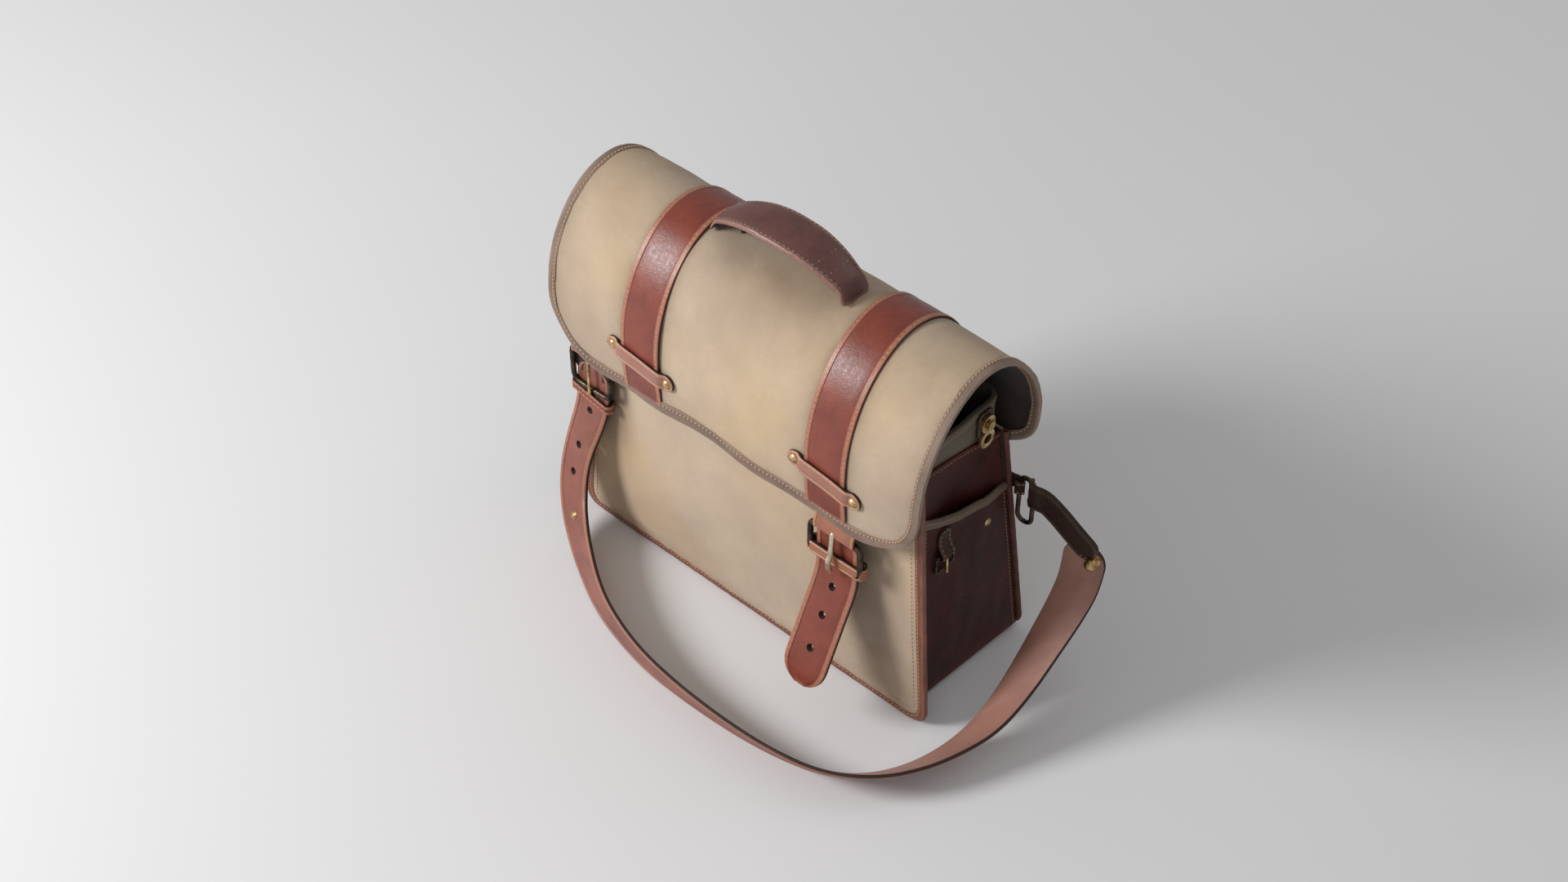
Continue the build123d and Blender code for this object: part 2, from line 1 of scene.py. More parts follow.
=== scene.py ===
"""Canvas and leather satchel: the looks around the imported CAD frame.

Shapes are made in millimetres in the CAD frame and turned into metres by piece().
"""
from math import cos, exp, pi, radians, sin, sqrt

import bmesh
import bpy
import numpy as np
from mathutils import Matrix, Vector, noise


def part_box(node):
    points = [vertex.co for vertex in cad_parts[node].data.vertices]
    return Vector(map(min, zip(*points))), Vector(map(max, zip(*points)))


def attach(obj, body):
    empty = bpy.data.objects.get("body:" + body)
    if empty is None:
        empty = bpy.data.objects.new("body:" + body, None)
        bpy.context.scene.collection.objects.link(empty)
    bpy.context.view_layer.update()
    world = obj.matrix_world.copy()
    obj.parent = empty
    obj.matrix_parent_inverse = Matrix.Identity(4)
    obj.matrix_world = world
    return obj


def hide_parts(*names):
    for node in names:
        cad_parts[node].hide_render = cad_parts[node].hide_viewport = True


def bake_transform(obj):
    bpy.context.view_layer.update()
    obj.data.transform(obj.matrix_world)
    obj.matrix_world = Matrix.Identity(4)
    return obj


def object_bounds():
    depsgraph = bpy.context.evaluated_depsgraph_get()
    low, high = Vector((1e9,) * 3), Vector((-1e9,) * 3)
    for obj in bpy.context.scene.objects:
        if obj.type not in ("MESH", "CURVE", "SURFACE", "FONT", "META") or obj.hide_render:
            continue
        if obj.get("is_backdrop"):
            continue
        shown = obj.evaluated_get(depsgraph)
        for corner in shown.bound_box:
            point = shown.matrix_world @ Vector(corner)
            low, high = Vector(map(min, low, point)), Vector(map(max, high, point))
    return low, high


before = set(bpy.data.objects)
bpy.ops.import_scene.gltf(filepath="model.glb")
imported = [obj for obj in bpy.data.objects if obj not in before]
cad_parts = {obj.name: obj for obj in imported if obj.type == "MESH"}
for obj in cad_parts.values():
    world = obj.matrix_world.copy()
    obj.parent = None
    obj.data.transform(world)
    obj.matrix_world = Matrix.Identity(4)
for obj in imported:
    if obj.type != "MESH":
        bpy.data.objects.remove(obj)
CAD_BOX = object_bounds()

MM = 1000.0
RIGHT, DEEP, UP = np.eye(3)
SIDES = ((1, "right"), (-1, "left"))


def low(node):
    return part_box(node)[0] * MM


def high(node):
    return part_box(node)[1] * MM


def middle(node):
    return (low(node) + high(node)) / 2


# ---- dimensions, in mm ----
PANEL_HALF, TAPER, WALL_TOP = 184.5, 8.0, high("front_panel").z
FRONT_HALF, FRONT_TAPER = 194.0, 20.0
FRONT_FOOT, FRONT_LEAN = -77.0, -4.0
BACK_FOOT, BACK_LEAN = 66.0, 37.0
INSET, INSET_TOP = 9.0, 150.0
PIPE_R = 2.75
FLAP_HALF = high("flap_binding").x
FLAP_Y, FLAP_Z, FLAP_A, FLAP_B = -27.0, 262.0, 75.0, 104.0
CORNER_R = 64.0
FLAP_THICK = 2.6
FLAP_STRAP_W, FLAP_STRAP_T = 42.0, 2.6
STRAPS = {"right": middle("flap_strap_right").x, "left": middle("flap_strap_left").x}
CLOSURE = middle("closure_prong")
CLOSURE.z = high("closure_buckle").z - 2.0
CLOSURE.y = middle("closure_buckle").y
CREST = FLAP_Z + FLAP_B
RIGHT_RING_Z = 191.0
HEM_Z = 203.0
STRAP_BACK_END, STRAP_FRONT_END = 290.0, 213.0
KEEPER_Z, KEEPER_TILT, KEEPER_HALF = 250, radians(7), 37


# ---- camera ----
def add_camera():
    """The photo's view of the bag."""
    turn, tilt = radians(41.95), radians(44.43)
    right = Vector((cos(turn), sin(turn), 0))
    back = Vector((sin(turn) * cos(tilt), -cos(turn) * cos(tilt), sin(tilt)))
    camera = bpy.data.objects.new("camera", bpy.data.cameras.new("camera"))
    camera.data.sensor_width = 36.0
    camera.data.lens = 53.44
    place = Matrix((right, back.cross(right), back)).transposed().to_4x4()
    place.translation = (0.9204, -1.0549, 1.5192)
    camera.matrix_world = place
    bpy.context.scene.collection.objects.link(camera)
    bpy.context.scene.camera = camera


add_camera()


# ---- materials ----
def linear(rgb):
    """sRGB 0..255 to a linear colour."""
    shares = [c / 255 for c in rgb]
    return tuple(c / 12.92 if c <= 0.04045 else ((c + 0.055) / 1.055) ** 2.4 for c in shares) + (1,)


class Shader:
    """A material's node tree, written one node a line."""

    def __init__(self, name):
        self.material = bpy.data.materials.new(name)
        self.material.use_nodes = True
        self.tree = self.material.node_tree
        self.tree.nodes.clear()
        self.surface = self.node("BsdfPrincipled")
        output = self.node("OutputMaterial")
        self.tree.links.new(self.surface.outputs[0], output.inputs["Surface"])

    def node(self, kind, **settings):
        node = self.tree.nodes.new("ShaderNode" + kind)
        for name, value in settings.items():
            setattr(node, name, value)
        return node

    def put(self, node, socket, value):
        if hasattr(value, "is_output"):
            self.tree.links.new(value, node.inputs[socket])
        else:
            node.inputs[socket].default_value = value

    def math(self, operation, a, b=0.0, clamp=False):
        node = self.node("Math", operation=operation, use_clamp=clamp)
        self.put(node, 0, a)
        self.put(node, 1, b)
        return node.outputs[0]

    def mix(self, factor, a, b):
        node = self.node("Mix", data_type="RGBA")
        for socket, value in ((0, factor), (6, a), (7, b)):
            self.put(node, socket, value)
        return node.outputs[2]

    def span(self, value, a, b, to_a=0.0, to_b=1.0):
        node = self.node("MapRange", clamp=True)
        for socket, number in enumerate((value, a, b, to_a, to_b)):
            self.put(node, socket, number)
        return node.outputs[0]

    def noise(self, where, scale, detail=2.0, rough=0.5):
        node = self.node("TexNoise")
        self.tree.links.new(where, node.inputs["Vector"])
        node.inputs["Scale"].default_value = scale
        node.inputs["Detail"].default_value = detail
        node.inputs["Roughness"].default_value = rough
        return node.outputs["Fac"]

    def cloth_map(self):
        node = self.node("UVMap")
        node.uv_map = "cloth"
        return node.outputs[0]

    def object_map(self):
        return self.node("TexCoord").outputs["Object"]

    def attribute(self, name):
        return self.node("Attribute", attribute_name=name).outputs["Fac"]

    def bump(self, height, strength, distance, under=None):
        node = self.node("Bump")
        node.inputs["Strength"].default_value = strength
        node.inputs["Distance"].default_value = distance
        self.tree.links.new(height, node.inputs["Height"])
        if under is not None:
            self.tree.links.new(under, node.inputs["Normal"])
        return node.outputs[0]

    def done(self, colour, roughness, normal=None, **constants):
        self.put(self.surface, "Base Color", colour)
        self.put(self.surface, "Roughness", roughness)
        if normal is not None:
            self.tree.links.new(normal, self.surface.inputs["Normal"])
        for name, value in constants.items():
            self.surface.inputs[name.replace("_", " ")].default_value = value
        return self.material


def canvas(name, base, shade, golden, worn, pitch=0.0011):
    """Woven cloth: crossing threads, soft mottling, and a darker worn tone where the per-point wear value is
    high, which paints shade and shadow as well as grime.
    """
    s = Shader(name)
    where = s.cloth_map()
    threads = []
    for direction in ("X", "Y"):
        wave = s.node("TexWave", bands_direction=direction, wave_profile="SIN")
        s.tree.links.new(where, wave.inputs["Vector"])
        wave.inputs["Scale"].default_value = 0.314 / pitch
        wave.inputs["Distortion"].default_value = 0.6
        wave.inputs["Detail"].default_value = 1.0
        wave.inputs["Detail Scale"].default_value = 0.4
        threads.append(wave.outputs["Fac"])
    weave = s.math("MULTIPLY", threads[0], threads[1])
    broad = s.noise(where, 7, 3, 0.55)
    fine = s.noise(where, 140, 3, 0.65)
    colour = s.mix(s.span(broad, 0.36, 0.68), linear(base), linear(shade))
    colour = s.mix(s.span(s.noise(where, 4.5, 2), 0.45, 0.7, 0, 0.8), colour, linear(golden))
    colour = s.mix(s.math("MULTIPLY", s.span(fine, 0.35, 0.75), 0.22), colour, linear(shade))
    colour = s.mix(s.math("MULTIPLY", weave, 0.16), colour, linear(worn))
    # Painted shade and grime: the canvas darkens towards the worn colour where the per-point value is high.
    shade_and_grime = s.math("MULTIPLY", s.attribute("wear"), s.span(s.noise(where, 40, 3), 0.2, 0.8, 0.55, 1.0))
    colour = s.mix(s.math("MULTIPLY", shade_and_grime, 0.75), colour, linear(worn))
    creases = s.bump(s.noise(where, 26, 3, 0.6), 0.35, 0.0022)
    normal = s.bump(weave, 0.45, 0.0004, creases)
    return s.done(colour, s.span(fine, 0.2, 0.8, 0.82, 0.95), normal, Sheen_Weight=0.12, Sheen_Roughness=0.5)


def leather(name, base, dark, edge, gloss=0.42, wear=1.0, grain=1300, shine=0.5):
    """Grained leather: mottled dye, pores and creases, paler where the wear attribute is high."""
    s = Shader(name)
    where = s.cloth_map()
    broad = s.noise(where, 22, 4, 0.6)
    pores = s.node("TexVoronoi")
    s.tree.links.new(where, pores.inputs["Vector"])
    pores.inputs["Scale"].default_value = grain
    pores.inputs["Randomness"].default_value = 0.9
    cells = pores.outputs["Distance"]
    scuffs = s.noise(where, 320, 4, 0.7)
    colour = s.mix(s.span(broad, 0.35, 0.72), linear(base), linear(dark))
    colour = s.mix(s.math("MULTIPLY", s.span(scuffs, 0.58, 0.8), 0.16), colour, linear(edge))
    colour = s.mix(s.math("MULTIPLY", s.span(cells, 0.0, 0.55, 0.35, 0.0), 0.8), colour, linear(dark))
    rubbed = s.math("MULTIPLY", s.attribute("wear"), s.span(scuffs, 0.3, 0.62, 0.45, 1.0))
    colour = s.mix(s.math("MULTIPLY", rubbed, wear), colour, linear(edge))
    rough = s.span(scuffs, 0.25, 0.75, gloss - 0.06, gloss + 0.16)
    creased = s.bump(s.noise(where, 90, 4, 0.6), 0.3, 0.0009)
    return s.done(colour, rough, s.bump(cells, 0.3, 0.00025, creased), Specular_IOR_Level=shine)


def metal(name, base, dark, gloss, shine=1.0):
    """Cast metal with tarnish in patches and small dents."""
    s = Shader(name)
    where = s.object_map()
    patches = s.noise(where, 130, 4, 0.65)
    fine = s.noise(where, 900, 3, 0.6)
    colour = s.mix(s.span(patches, 0.38, 0.66), linear(base), linear(dark))
    rough = s.span(fine, 0.25, 0.75, gloss - 0.08, gloss + 0.15)
    normal = s.bump(fine, 0.25, 0.0003, s.bump(patches, 0.25, 0.0008))
    return s.done(colour, rough, normal, Metallic=shine)


def thread(name, base, dark):
    s = Shader(name)
    where = s.object_map()
    twist = s.noise(where, 2500, 2)
    colour = s.mix(twist, linear(base), linear(dark))
    return s.done(colour, 0.85, s.bump(twist, 0.3, 0.0003))


CANVAS = canvas("canvas", (195, 175, 151), (170, 149, 129), (198, 168, 126), (100, 78, 60))
LINING = canvas("lining", (58, 46, 40), (42, 33, 28), (52, 42, 34), (26, 20, 16))
# A darker copy of the canvas for the collar: painted shade of its place under the flap.
COLLAR = canvas("collar_canvas", (118, 103, 84), (94, 82, 66), (110, 94, 72), (60, 50, 40))
BINDING = leather("binding", (122, 100, 88), (82, 64, 56), (172, 150, 134), 0.65, 0.7)
PIPING = leather("piping", (116, 66, 50), (82, 42, 34), (160, 112, 88), 0.5, 0.6)
DARK = leather("dark_leather", (66, 26, 23), (36, 15, 14), (112, 58, 46), 0.46, 0.6, shine=0.2)
# A darker copy of the piping leather for the back panel: painted shade.
PIPING_SHADED = leather("piping_painted_shade", (78, 36, 29), (50, 24, 20), (120, 74, 58), 0.5, 0.6, shine=0.3)
DARK_EDGE = leather("dark_edge", (84, 68, 58), (56, 44, 38), (130, 108, 88), 0.55, 0.7)
TRIM = leather("trim_leather", (58, 36, 29), (34, 22, 18), (104, 76, 58), 0.46, 0.6, shine=0.25)
STRAP = leather("strap_leather", (130, 59, 43), (100, 43, 32), (178, 122, 98), 0.34, 0.8)
PALE = leather("keeper_leather", (158, 110, 94), (132, 86, 74), (198, 146, 116), 0.36, 0.8)
ROLLER = leather("loop_leather", (160, 104, 78), (124, 76, 56), (196, 146, 112), 0.38, 0.6)
CARRY = leather("shoulder_leather", (138, 80, 66), (108, 60, 50), (170, 120, 92), 0.42, 0.7)
STRAP_INSIDE = leather("strap_inside", (168, 122, 106), (146, 102, 90), (110, 78, 66), 0.5, 0.5)
HANDLE = leather("handle_leather", (104, 62, 56), (72, 42, 40), (150, 110, 98), 0.34, 0.8)
HOLE = leather("strap_edge_dark", (46, 28, 22), (30, 18, 15), (70, 44, 34), 0.7, 0.3)
THREAD = thread("thread", (206, 172, 132), (150, 112, 80))
DULL_THREAD = thread("dull_thread", (150, 132, 112), (104, 88, 72))
IRON = metal("antique_metal", (96, 84, 70), (38, 32, 28), 0.42)
BRASS = metal("brass", (226, 200, 146), (150, 116, 68), 0.3)
SILVER = metal("worn_silver", (226, 214, 188), (150, 136, 108), 0.3)
STEEL = metal("snap_steel", (170, 168, 164), (110, 106, 100), 0.35)
BOARD = leather("board", (92, 78, 64), (70, 58, 46), (120, 104, 86), 0.8, 0.4, 700)


# ---- meshes ----
def normals(grid):
    """Unit normals of a grid of points, rows by columns."""
    across, along = np.gradient(grid, axis=1), np.gradient(grid, axis=0)
    n = np.cross(across, along)
    return n / np.maximum(np.linalg.norm(n, axis=2, keepdims=True), 1e-9)


def unit(v):
    return v / np.maximum(np.linalg.norm(v, axis=-1, keepdims=True), 1e-9)


def heading(line):
    """Unit directions along a line of points."""
    return unit(np.gradient(line, axis=0))


def squared(v, ahead):
    """Unit vectors made square to the directions ahead."""
    return unit(v - ahead * np.sum(v * ahead, axis=1, keepdims=True))


def mirror(side):
    """Factor that turns points made for the right side into those for a side."""
    return np.array([side, 1, 1])


def wander(points, size, seed=0.0):
    """Smooth noise between -1 and 1 at each point."""
    flat = points.reshape(-1, 3) / size
    found = [noise.noise(Vector((x + seed * 7.31, y - seed * 3.7, z + seed))) for x, y, z in flat]
    return np.array(found).reshape(points.shape[:-1])


class Build:
    """Collects one piece: points in mm, faces, cloth map, per-point wear values (on canvas also painted
    shade) and material slots.
    """

    def __init__(self):
        self.points, self.faces, self.map, self.wear, self.slots = [], [], [], [], []

    def add(self, points, faces, cloth, wear, slots):
        base = len(self.points)
        self.points.extend(map(tuple, points))
        self.faces.extend(tuple(base + i for i in face) for face in faces)
        self.map.extend(map(tuple, cloth))
        self.wear.extend(wear)
        self.slots.extend(slots)

    def shell(self, outer, inner, wrap=False, wear=None, slots=(0, 0, 0)):
        """Closed skin between two grids; slots are the materials outside, inside and on the rim."""
        rows, cols = outer.shape[:2]
        n = rows * cols
        faces, kinds = [], []
        last = cols if wrap else cols - 1
        for i in range(rows - 1):
            for j in range(last):
                k = (j + 1) % cols
                a, b, c, d = i * cols + j, i * cols + k, (i + 1) * cols + k, (i + 1) * cols + j
                faces += [(a, b, c, d), (n + a, n + d, n + c, n + b)]
                kinds += [slots[0], slots[1]]
        for j in range(last):
            k = (j + 1) % cols
            end = (rows - 1) * cols
            faces += [(j, n + j, n + k, k), (end + j, end + k, n + end + k, n + end + j)]
            kinds += [slots[2]] * 2
        if not wrap:
            for i in range(rows - 1):
                a, b = i * cols, (i + 1) * cols
                far_a, far_b = a + cols - 1, b + cols - 1
                faces += [(a, b, n + b, n + a), (far_a, n + far_a, n + far_b, far_b)]
                kinds += [slots[2]] * 2
        cloth = cloth_map(outer)
        wear = np.zeros((rows, cols)) if wear is None else wear
        self.add(np.concatenate([outer.reshape(-1, 3), inner.reshape(-1, 3)]), faces,
                 np.concatenate([cloth, cloth]), list(wear.reshape(-1)) * 2, kinds)
        return self

    def tube(self, grid, closed=False, wear=None, slots=None):
        """Rings of points (stations by section) joined into a skin; slots are the materials round it."""
        rows, cols = grid.shape[:2]
        faces, kinds = [], []
        for i in range(rows if closed else rows - 1):
            h = (i + 1) % rows
            for j in range(cols):
                k = (j + 1) % cols
                faces.append((i * cols + j, i * cols + k, h * cols + k, h * cols + j))
                kinds.append(slots[j] if slots else 0)
        if not closed:
            faces += [tuple(range(cols))[::-1], tuple((rows - 1) * cols + j for j in range(cols))]
            kinds += [slots[0] if slots else 0] * 2
        wear = np.zeros((rows, cols)) if wear is None else np.broadcast_to(wear, (rows, cols))
        self.add(grid.reshape(-1, 3), faces, cloth_map(grid), list(wear.reshape(-1)), kinds)
        return self

    def stitches(self, line, normal, pitch=4.6, length=3.0, r=0.42, slot=1):
        """A row of stitches along a line, each a small sunk capsule; normal is away from the surface."""
        line = np.asarray(line, float)
        normal = np.broadcast_to(np.asarray(normal, float), line.shape)
        total = lengths(line)[-1]
        count = int((total - length) // pitch)
        margin = (total - length - pitch * count) / 2
        for i in range(count + 1):
            mid = length / 2 + pitch * i + margin
            (p, a, b), (up, *_) = resampled(line, np.array([mid, mid - 0.6, mid + 0.6]), normal)
            up, ahead = unit(up), unit(b - a)
            side = unit(np.cross(up, ahead))
            rings = []
            for s, size, sink in ((-1, 0.3, -0.25), (-0.55, 1.0, 0.15), (0.55, 1.0, 0.15), (1, 0.3, -0.25)):
                centre = p + ahead * (s * length / 2) + up * sink
                rings += [centre + (side * cos(w) * 1.25 + up * sin(w)) * r * size
                          for w in (0, 1.05, 2.09, 3.14, 4.71)]
            faces = [(q * 5 + j, q * 5 + (j + 1) % 5, q * 5 + 5 + (j + 1) % 5, q * 5 + 5 + j)
                     for q in range(3) for j in range(5)]
            faces += [(4, 3, 2, 1, 0), (15, 16, 17, 18, 19)]
            self.add(rings, faces, [(0, 0)] * 20, [0.0] * 20, [slot] * len(faces))
        return self

    def turned(self, centre, axis, profile, sides, hint):
        """A profile of (radius, height) turned round an axis that starts at the centre."""
        side = unit(np.cross(axis, hint))
        other = np.cross(axis, side)
        angles = np.linspace(0, 2 * pi, sides, endpoint=False)
        return self.tube(np.array([[np.asarray(centre) + axis * h + (side * cos(w) + other * sin(w)) * r
                                    for w in angles] for r, h in profile]))

    def dome(self, centre, axis, r, tall, brim=0.35):
        """Domed cap standing on its centre point, with a small brim."""
        profile = [(0.6 * r, -0.8), (r, -0.2), (r, brim), (0.93 * r, brim + 0.12)]
        profile += [(0.88 * r * cos(a), brim + (tall - brim) * sin(a)) for a in (0.15, 0.45, 0.8, 1.15, 1.42)]
        return self.turned(centre, unit(np.asarray(axis, float)), profile, 20, (0.31, 0.52, 0.79))


def cloth_map(grid):
    """Lengths over the surface from the middle column and the first row, in metres."""
    across = np.zeros(grid.shape[:2])
    across[:, 1:] = np.cumsum(np.linalg.norm(np.diff(grid, axis=1), axis=2), axis=1)
    across -= across[:, grid.shape[1] // 2][:, None]
    along = np.zeros(grid.shape[:2])
    along[1:] = np.cumsum(np.linalg.norm(np.diff(grid, axis=0), axis=2), axis=0)
    return np.stack([across, along], axis=2).reshape(-1, 2) / MM


def piece(name, build, materials, body=None, replaces=(), angle=40, blend=None):
    """The finished Blender object of one build."""
    mesh = bpy.data.meshes.new(name)
    mesh.from_pydata(np.array(build.points) / MM, [], build.faces)
    mesh.polygons.foreach_set("material_index", build.slots)
    uv = mesh.uv_layers.new(name="cloth")
    corners = np.zeros(len(mesh.loops), dtype=np.int32)
    mesh.loops.foreach_get("vertex_index", corners)
    uv.data.foreach_set("uv", np.array(build.map)[corners].astype(np.float32).reshape(-1))
    wear = mesh.attributes.new("wear", "FLOAT", "POINT")
    wear.data.foreach_set("value", np.array(build.wear, dtype=np.float32))
    bm = bmesh.new()
    bm.from_mesh(mesh)
    bmesh.ops.recalc_face_normals(bm, faces=bm.faces)
    bm.to_mesh(mesh)
    bm.free()
    mesh.polygons.foreach_set("use_smooth", [True] * len(mesh.polygons))
    mesh.set_sharp_from_angle(angle=radians(angle))
    for material in materials:
        mesh.materials.append(material)
    obj = bpy.data.objects.new(name, mesh)
    bpy.context.scene.collection.objects.link(obj)
    if blend:
        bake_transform(obj)
    else:
        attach(obj, body)
    if replaces:
        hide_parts(*replaces)
    return obj


def strap_piece(node, build, colour, body="bag", sewing=None, angle=40):
    """The piece of one strap node: its leather, dark edges and thread."""
    return piece(f"{node}_leather", build, [colour, HOLE, sewing or THREAD], body, [node], angle)


def punched(obj, holes, thick, wide=3.8, narrow=1.0):
    """Cut tapered dark holes through a strap, at pairs of a point on its under side and the way up."""
    cutter = bmesh.new()
    for under, up in holes:
        turn = Vector(up).to_track_quat("Z", "Y").to_matrix().to_4x4()
        place = Matrix.Translation(Vector(under + up * (thick / 2)) / MM) @ turn
        bmesh.ops.create_cone(cutter, cap_ends=True, segments=14, radius1=narrow / MM,
                              radius2=wide / MM, depth=(thick + 1.0) / MM, matrix=place)
    mesh = bpy.data.meshes.new("cutter")
    cutter.to_mesh(mesh)
    mesh.materials.append(HOLE)
    cutter.free()
    tool = bpy.data.objects.new("cutter", mesh)
    bpy.context.scene.collection.objects.link(tool)
    cut = obj.modifiers.new("holes", "BOOLEAN")
    cut.operation, cut.solver, cut.object = "DIFFERENCE", "EXACT", tool
    bpy.context.view_layer.update()
    ready = obj.evaluated_get(bpy.context.evaluated_depsgraph_get())
    done = bpy.data.meshes.new_from_object(ready)
    obj.modifiers.clear()
    obj.data = done
    bpy.data.objects.remove(tool)
    return obj


def strap_section(half, thick, groove=2.6):
    """Section of a flat strap: a raised rubbed border along each edge and a slight crown.

    Each point is (across, share of the thickness, wear), the border being groove wide."""
    side = [(-half, 0.3, 0.2), (-half + 0.15, 0.8, 0.4), (-half + 0.8, 1.05, 1.0),
            (-half + groove, 1.12, 0.75), (-half + groove + 0.7, 0.9, 0.2), (-half + groove + 1.5, 0.96, 0.0),
            (-half * 0.5, 1.0, 0.0)]
    top = side + [(0, 1.05, 0.0)] + [(-a, h, w) for a, h, w in reversed(side)]
    under = [(half - 0.5, 0.0, 0.8), (half * 0.4, 0.0, 0.1), (-half * 0.4, 0.0, 0.1), (-half + 0.5, 0.0, 0.8)]
    full = top + under
    section = np.array([(a, h * thick) for a, h, _ in full])
    slots = [2] + [0] * (len(top) - 3) + [2, 2] + [1] * (len(under) - 1) + [2]
    return section, np.array([w for _, _, w in full]), slots


def carried(points, across, up, section, widths=None):
    """Section (across, up) carried along stations; widths scales it across at each station."""
    scale = np.ones(len(points)) if widths is None else np.asarray(widths)
    a = section[None, :, 0] * scale[:, None]
    return points[:, None] + across[:, None] * a[..., None] + up[:, None] * section[None, :, 1:2]


def tip_widths(run, half, start=0.0, end=0.0):
    """Share of the full width at each length along a strap with rounded ends of these radii."""
    out = np.ones(len(run))
    for place, r in ((run, start), (run[-1] - run, end)):
        if r:
            inside = np.clip(place, 0.02 * r, r)
            rounded = (half - r + np.sqrt(np.maximum(r * r - (r - inside) ** 2, 0))) / half
            out = np.minimum(out, np.where(place < r, rounded, 1.0))
    return out


def lengths(points):
    return np.concatenate([[0], np.cumsum(np.linalg.norm(np.diff(points, axis=0), axis=1))])


def divided(points, n):
    """A line of n points, evenly spaced along it."""
    points = np.array(points, float)
    return resampled(points, np.linspace(0, lengths(points)[-1], n))


def smoothed(line, times):
    """A line relaxed towards its neighbours, with its ends kept."""
    for _ in range(times):
        line[1:-1] = (line[:-2] + 2 * line[1:-1] + line[2:]) / 4
    return line


def up_side(line, across, facing, at):
    """Unit normals of a strap along a line, on the side that faces that way at one station."""
    ahead = heading(line)
    up = unit(np.cross(ahead, np.broadcast_to(np.array(across, float), line.shape)))
    return -up if up[at] @ np.array(facing) < 0 else up


def resampled(points, at, *others):
    """Points of a line, and other values along it, at the given lengths."""
    run = lengths(points)
    found = [np.stack([np.interp(at, run, values[:, k]) for k in range(values.shape[1])], axis=1)
             for values in (points,) + others]
    return found[0] if not others else found


def even(total, step, start=0.0, end=0.0):
    """Lengths along a strap: even steps, closer together over a rounded start or end."""
    at = list(np.arange(start, total - end, step))
    if start:
        at = [start * (1 - cos(a)) for a in np.linspace(0.12, pi / 2, 7)[:-1]] + at
    at = at + [total - end] if not end else at
    if end:
        at += [total - end * (1 - sin(a)) for a in np.linspace(0, pi / 2 - 0.12, 7)]
    return np.array(sorted(set(round(a, 4) for a in at)))


def strap_build(points, across, up, width, thick, step=5.0, start=0.0, end=0.0, stitch=2.6, inside=1,
                groove=2.6, edge=1, build=None):
    """A stitched strap along a line, with points on its under side; start and end are its ends' radii."""
    points, across, up = (np.asarray(a, float) for a in (points, across, up))
    at = even(lengths(points)[-1], step, start, end)
    p, w, n = resampled(points, at, np.broadcast_to(across, points.shape), np.broadcast_to(up, points.shape))
    w, n = unit(w), unit(n)
    section, wear, slots = strap_section(width / 2, thick, groove)
    scale = tip_widths(at, width / 2, start, end)
    grid = carried(p, w, n, section, scale)
    build = build or Build()
    near_end = np.zeros(len(at))
    if end:
        near_end = np.clip(1 - (at[-1] - at) / 3.0, 0, 1)
    if start:
        near_end = np.maximum(near_end, np.clip(1 - at / 3.0, 0, 1))
    worn = np.maximum(wear[None, :], near_end[:, None])
    build.tube(grid, wear=worn, slots=[(0, inside, edge)[s] for s in slots])
    if stitch:
        line = p + n * thick * 0.9
        share = np.maximum(scale * width / 2 - stitch, 0) / (width / 2)
        keep = share > 0.02
        offset = w[keep] * (share[keep] * width / 2)[:, None]
        for sewn in (line[keep] - offset, line[keep] + offset):
            build.stitches(sewn, n[keep], slot=2)
    return build, p, n


def bent_strap(node, colour, points, count, across, facing, width, thick, sink=0.0, body="bag",
               slot="strap_leather", sewing=None, at=3, **shape):
    """A strap node along a line of points, its stitched side facing that way at one station."""
    line = divided(points, count)
    up = up_side(line, across, facing, at)
    build, *_ = strap_build(line - up * sink, across, up, width, thick, **shape)
    return strap_piece(node, build, colour, body, sewing)


# ---- shoulder strap: a free flat cord ----
SHOULDER_ROUTE = [
    (-.170, -.0817, .184), (-.172, -.0817, .156), (-.1765, -.0832, .128), (-.185, -.092, .091),
    (-.185, -.102, .063), (-.179, -.111, .035), (-.156, -.128, .023), (-.130, -.145, .020),
    (-.098, -.164, .020), (-.066, -.178, .020), (-.018, -.191, .0198), (.030, -.195, .0194),
    (.084, -.195, .0189), (.134, -.190, .0182), (.176, -.178, .017), (.208, -.153, .0162),
    (.228, -.121, .0164), (.240, -.087, .019), (.248, -.055, .029), (.250, -.022, .049),
    (.252, .006, .078), (.254, .030, .105), (.255, .044, .129), (.255, .046, .164)]
# how far the strap is turned about its line at each point, in degrees: 0 shows its stitched face to
# someone who looks along SHOULDER_SIGHT, 90 its upper edge and 180 its back
SHOULDER_SIGHT = (.48, -.53, .70)
SHOULDER_TURN = [39, 35, 33, 41, 46, 51, 56, 60, 64, 67, 70, 73, 76, 79, 82, 86, 92, 101, 115, 125, 133, 143,
                 149, 151]
SHOULDER_HOLES = (34.0, 54.0, 96.0, 124.0)
SHOULDER_W, SHOULDER_T = 38.0, 3.4


def spline_points(control):
    """Points of the NURBS spline through these control points, in mm."""
    curve = bpy.data.curves.new("route", "CURVE")
    curve.dimensions = "3D"
    spline = curve.splines.new("NURBS")
    spline.points.add(len(control) - 1)
    for point, place in zip(spline.points, control):
        point.co = (*place, 1.0)
    spline.order_u = 3
    spline.use_endpoint_u = True
    spline.resolution_u = 9
    holder = bpy.data.objects.new("route", curve)
    bpy.context.scene.collection.objects.link(holder)
    mesh = bpy.data.meshes.new_from_object(holder)
    points = np.array([v.co[:] for v in mesh.vertices]) * MM
    bpy.data.objects.remove(holder)
    bpy.data.curves.remove(curve)
    bpy.data.meshes.remove(mesh)
    return points


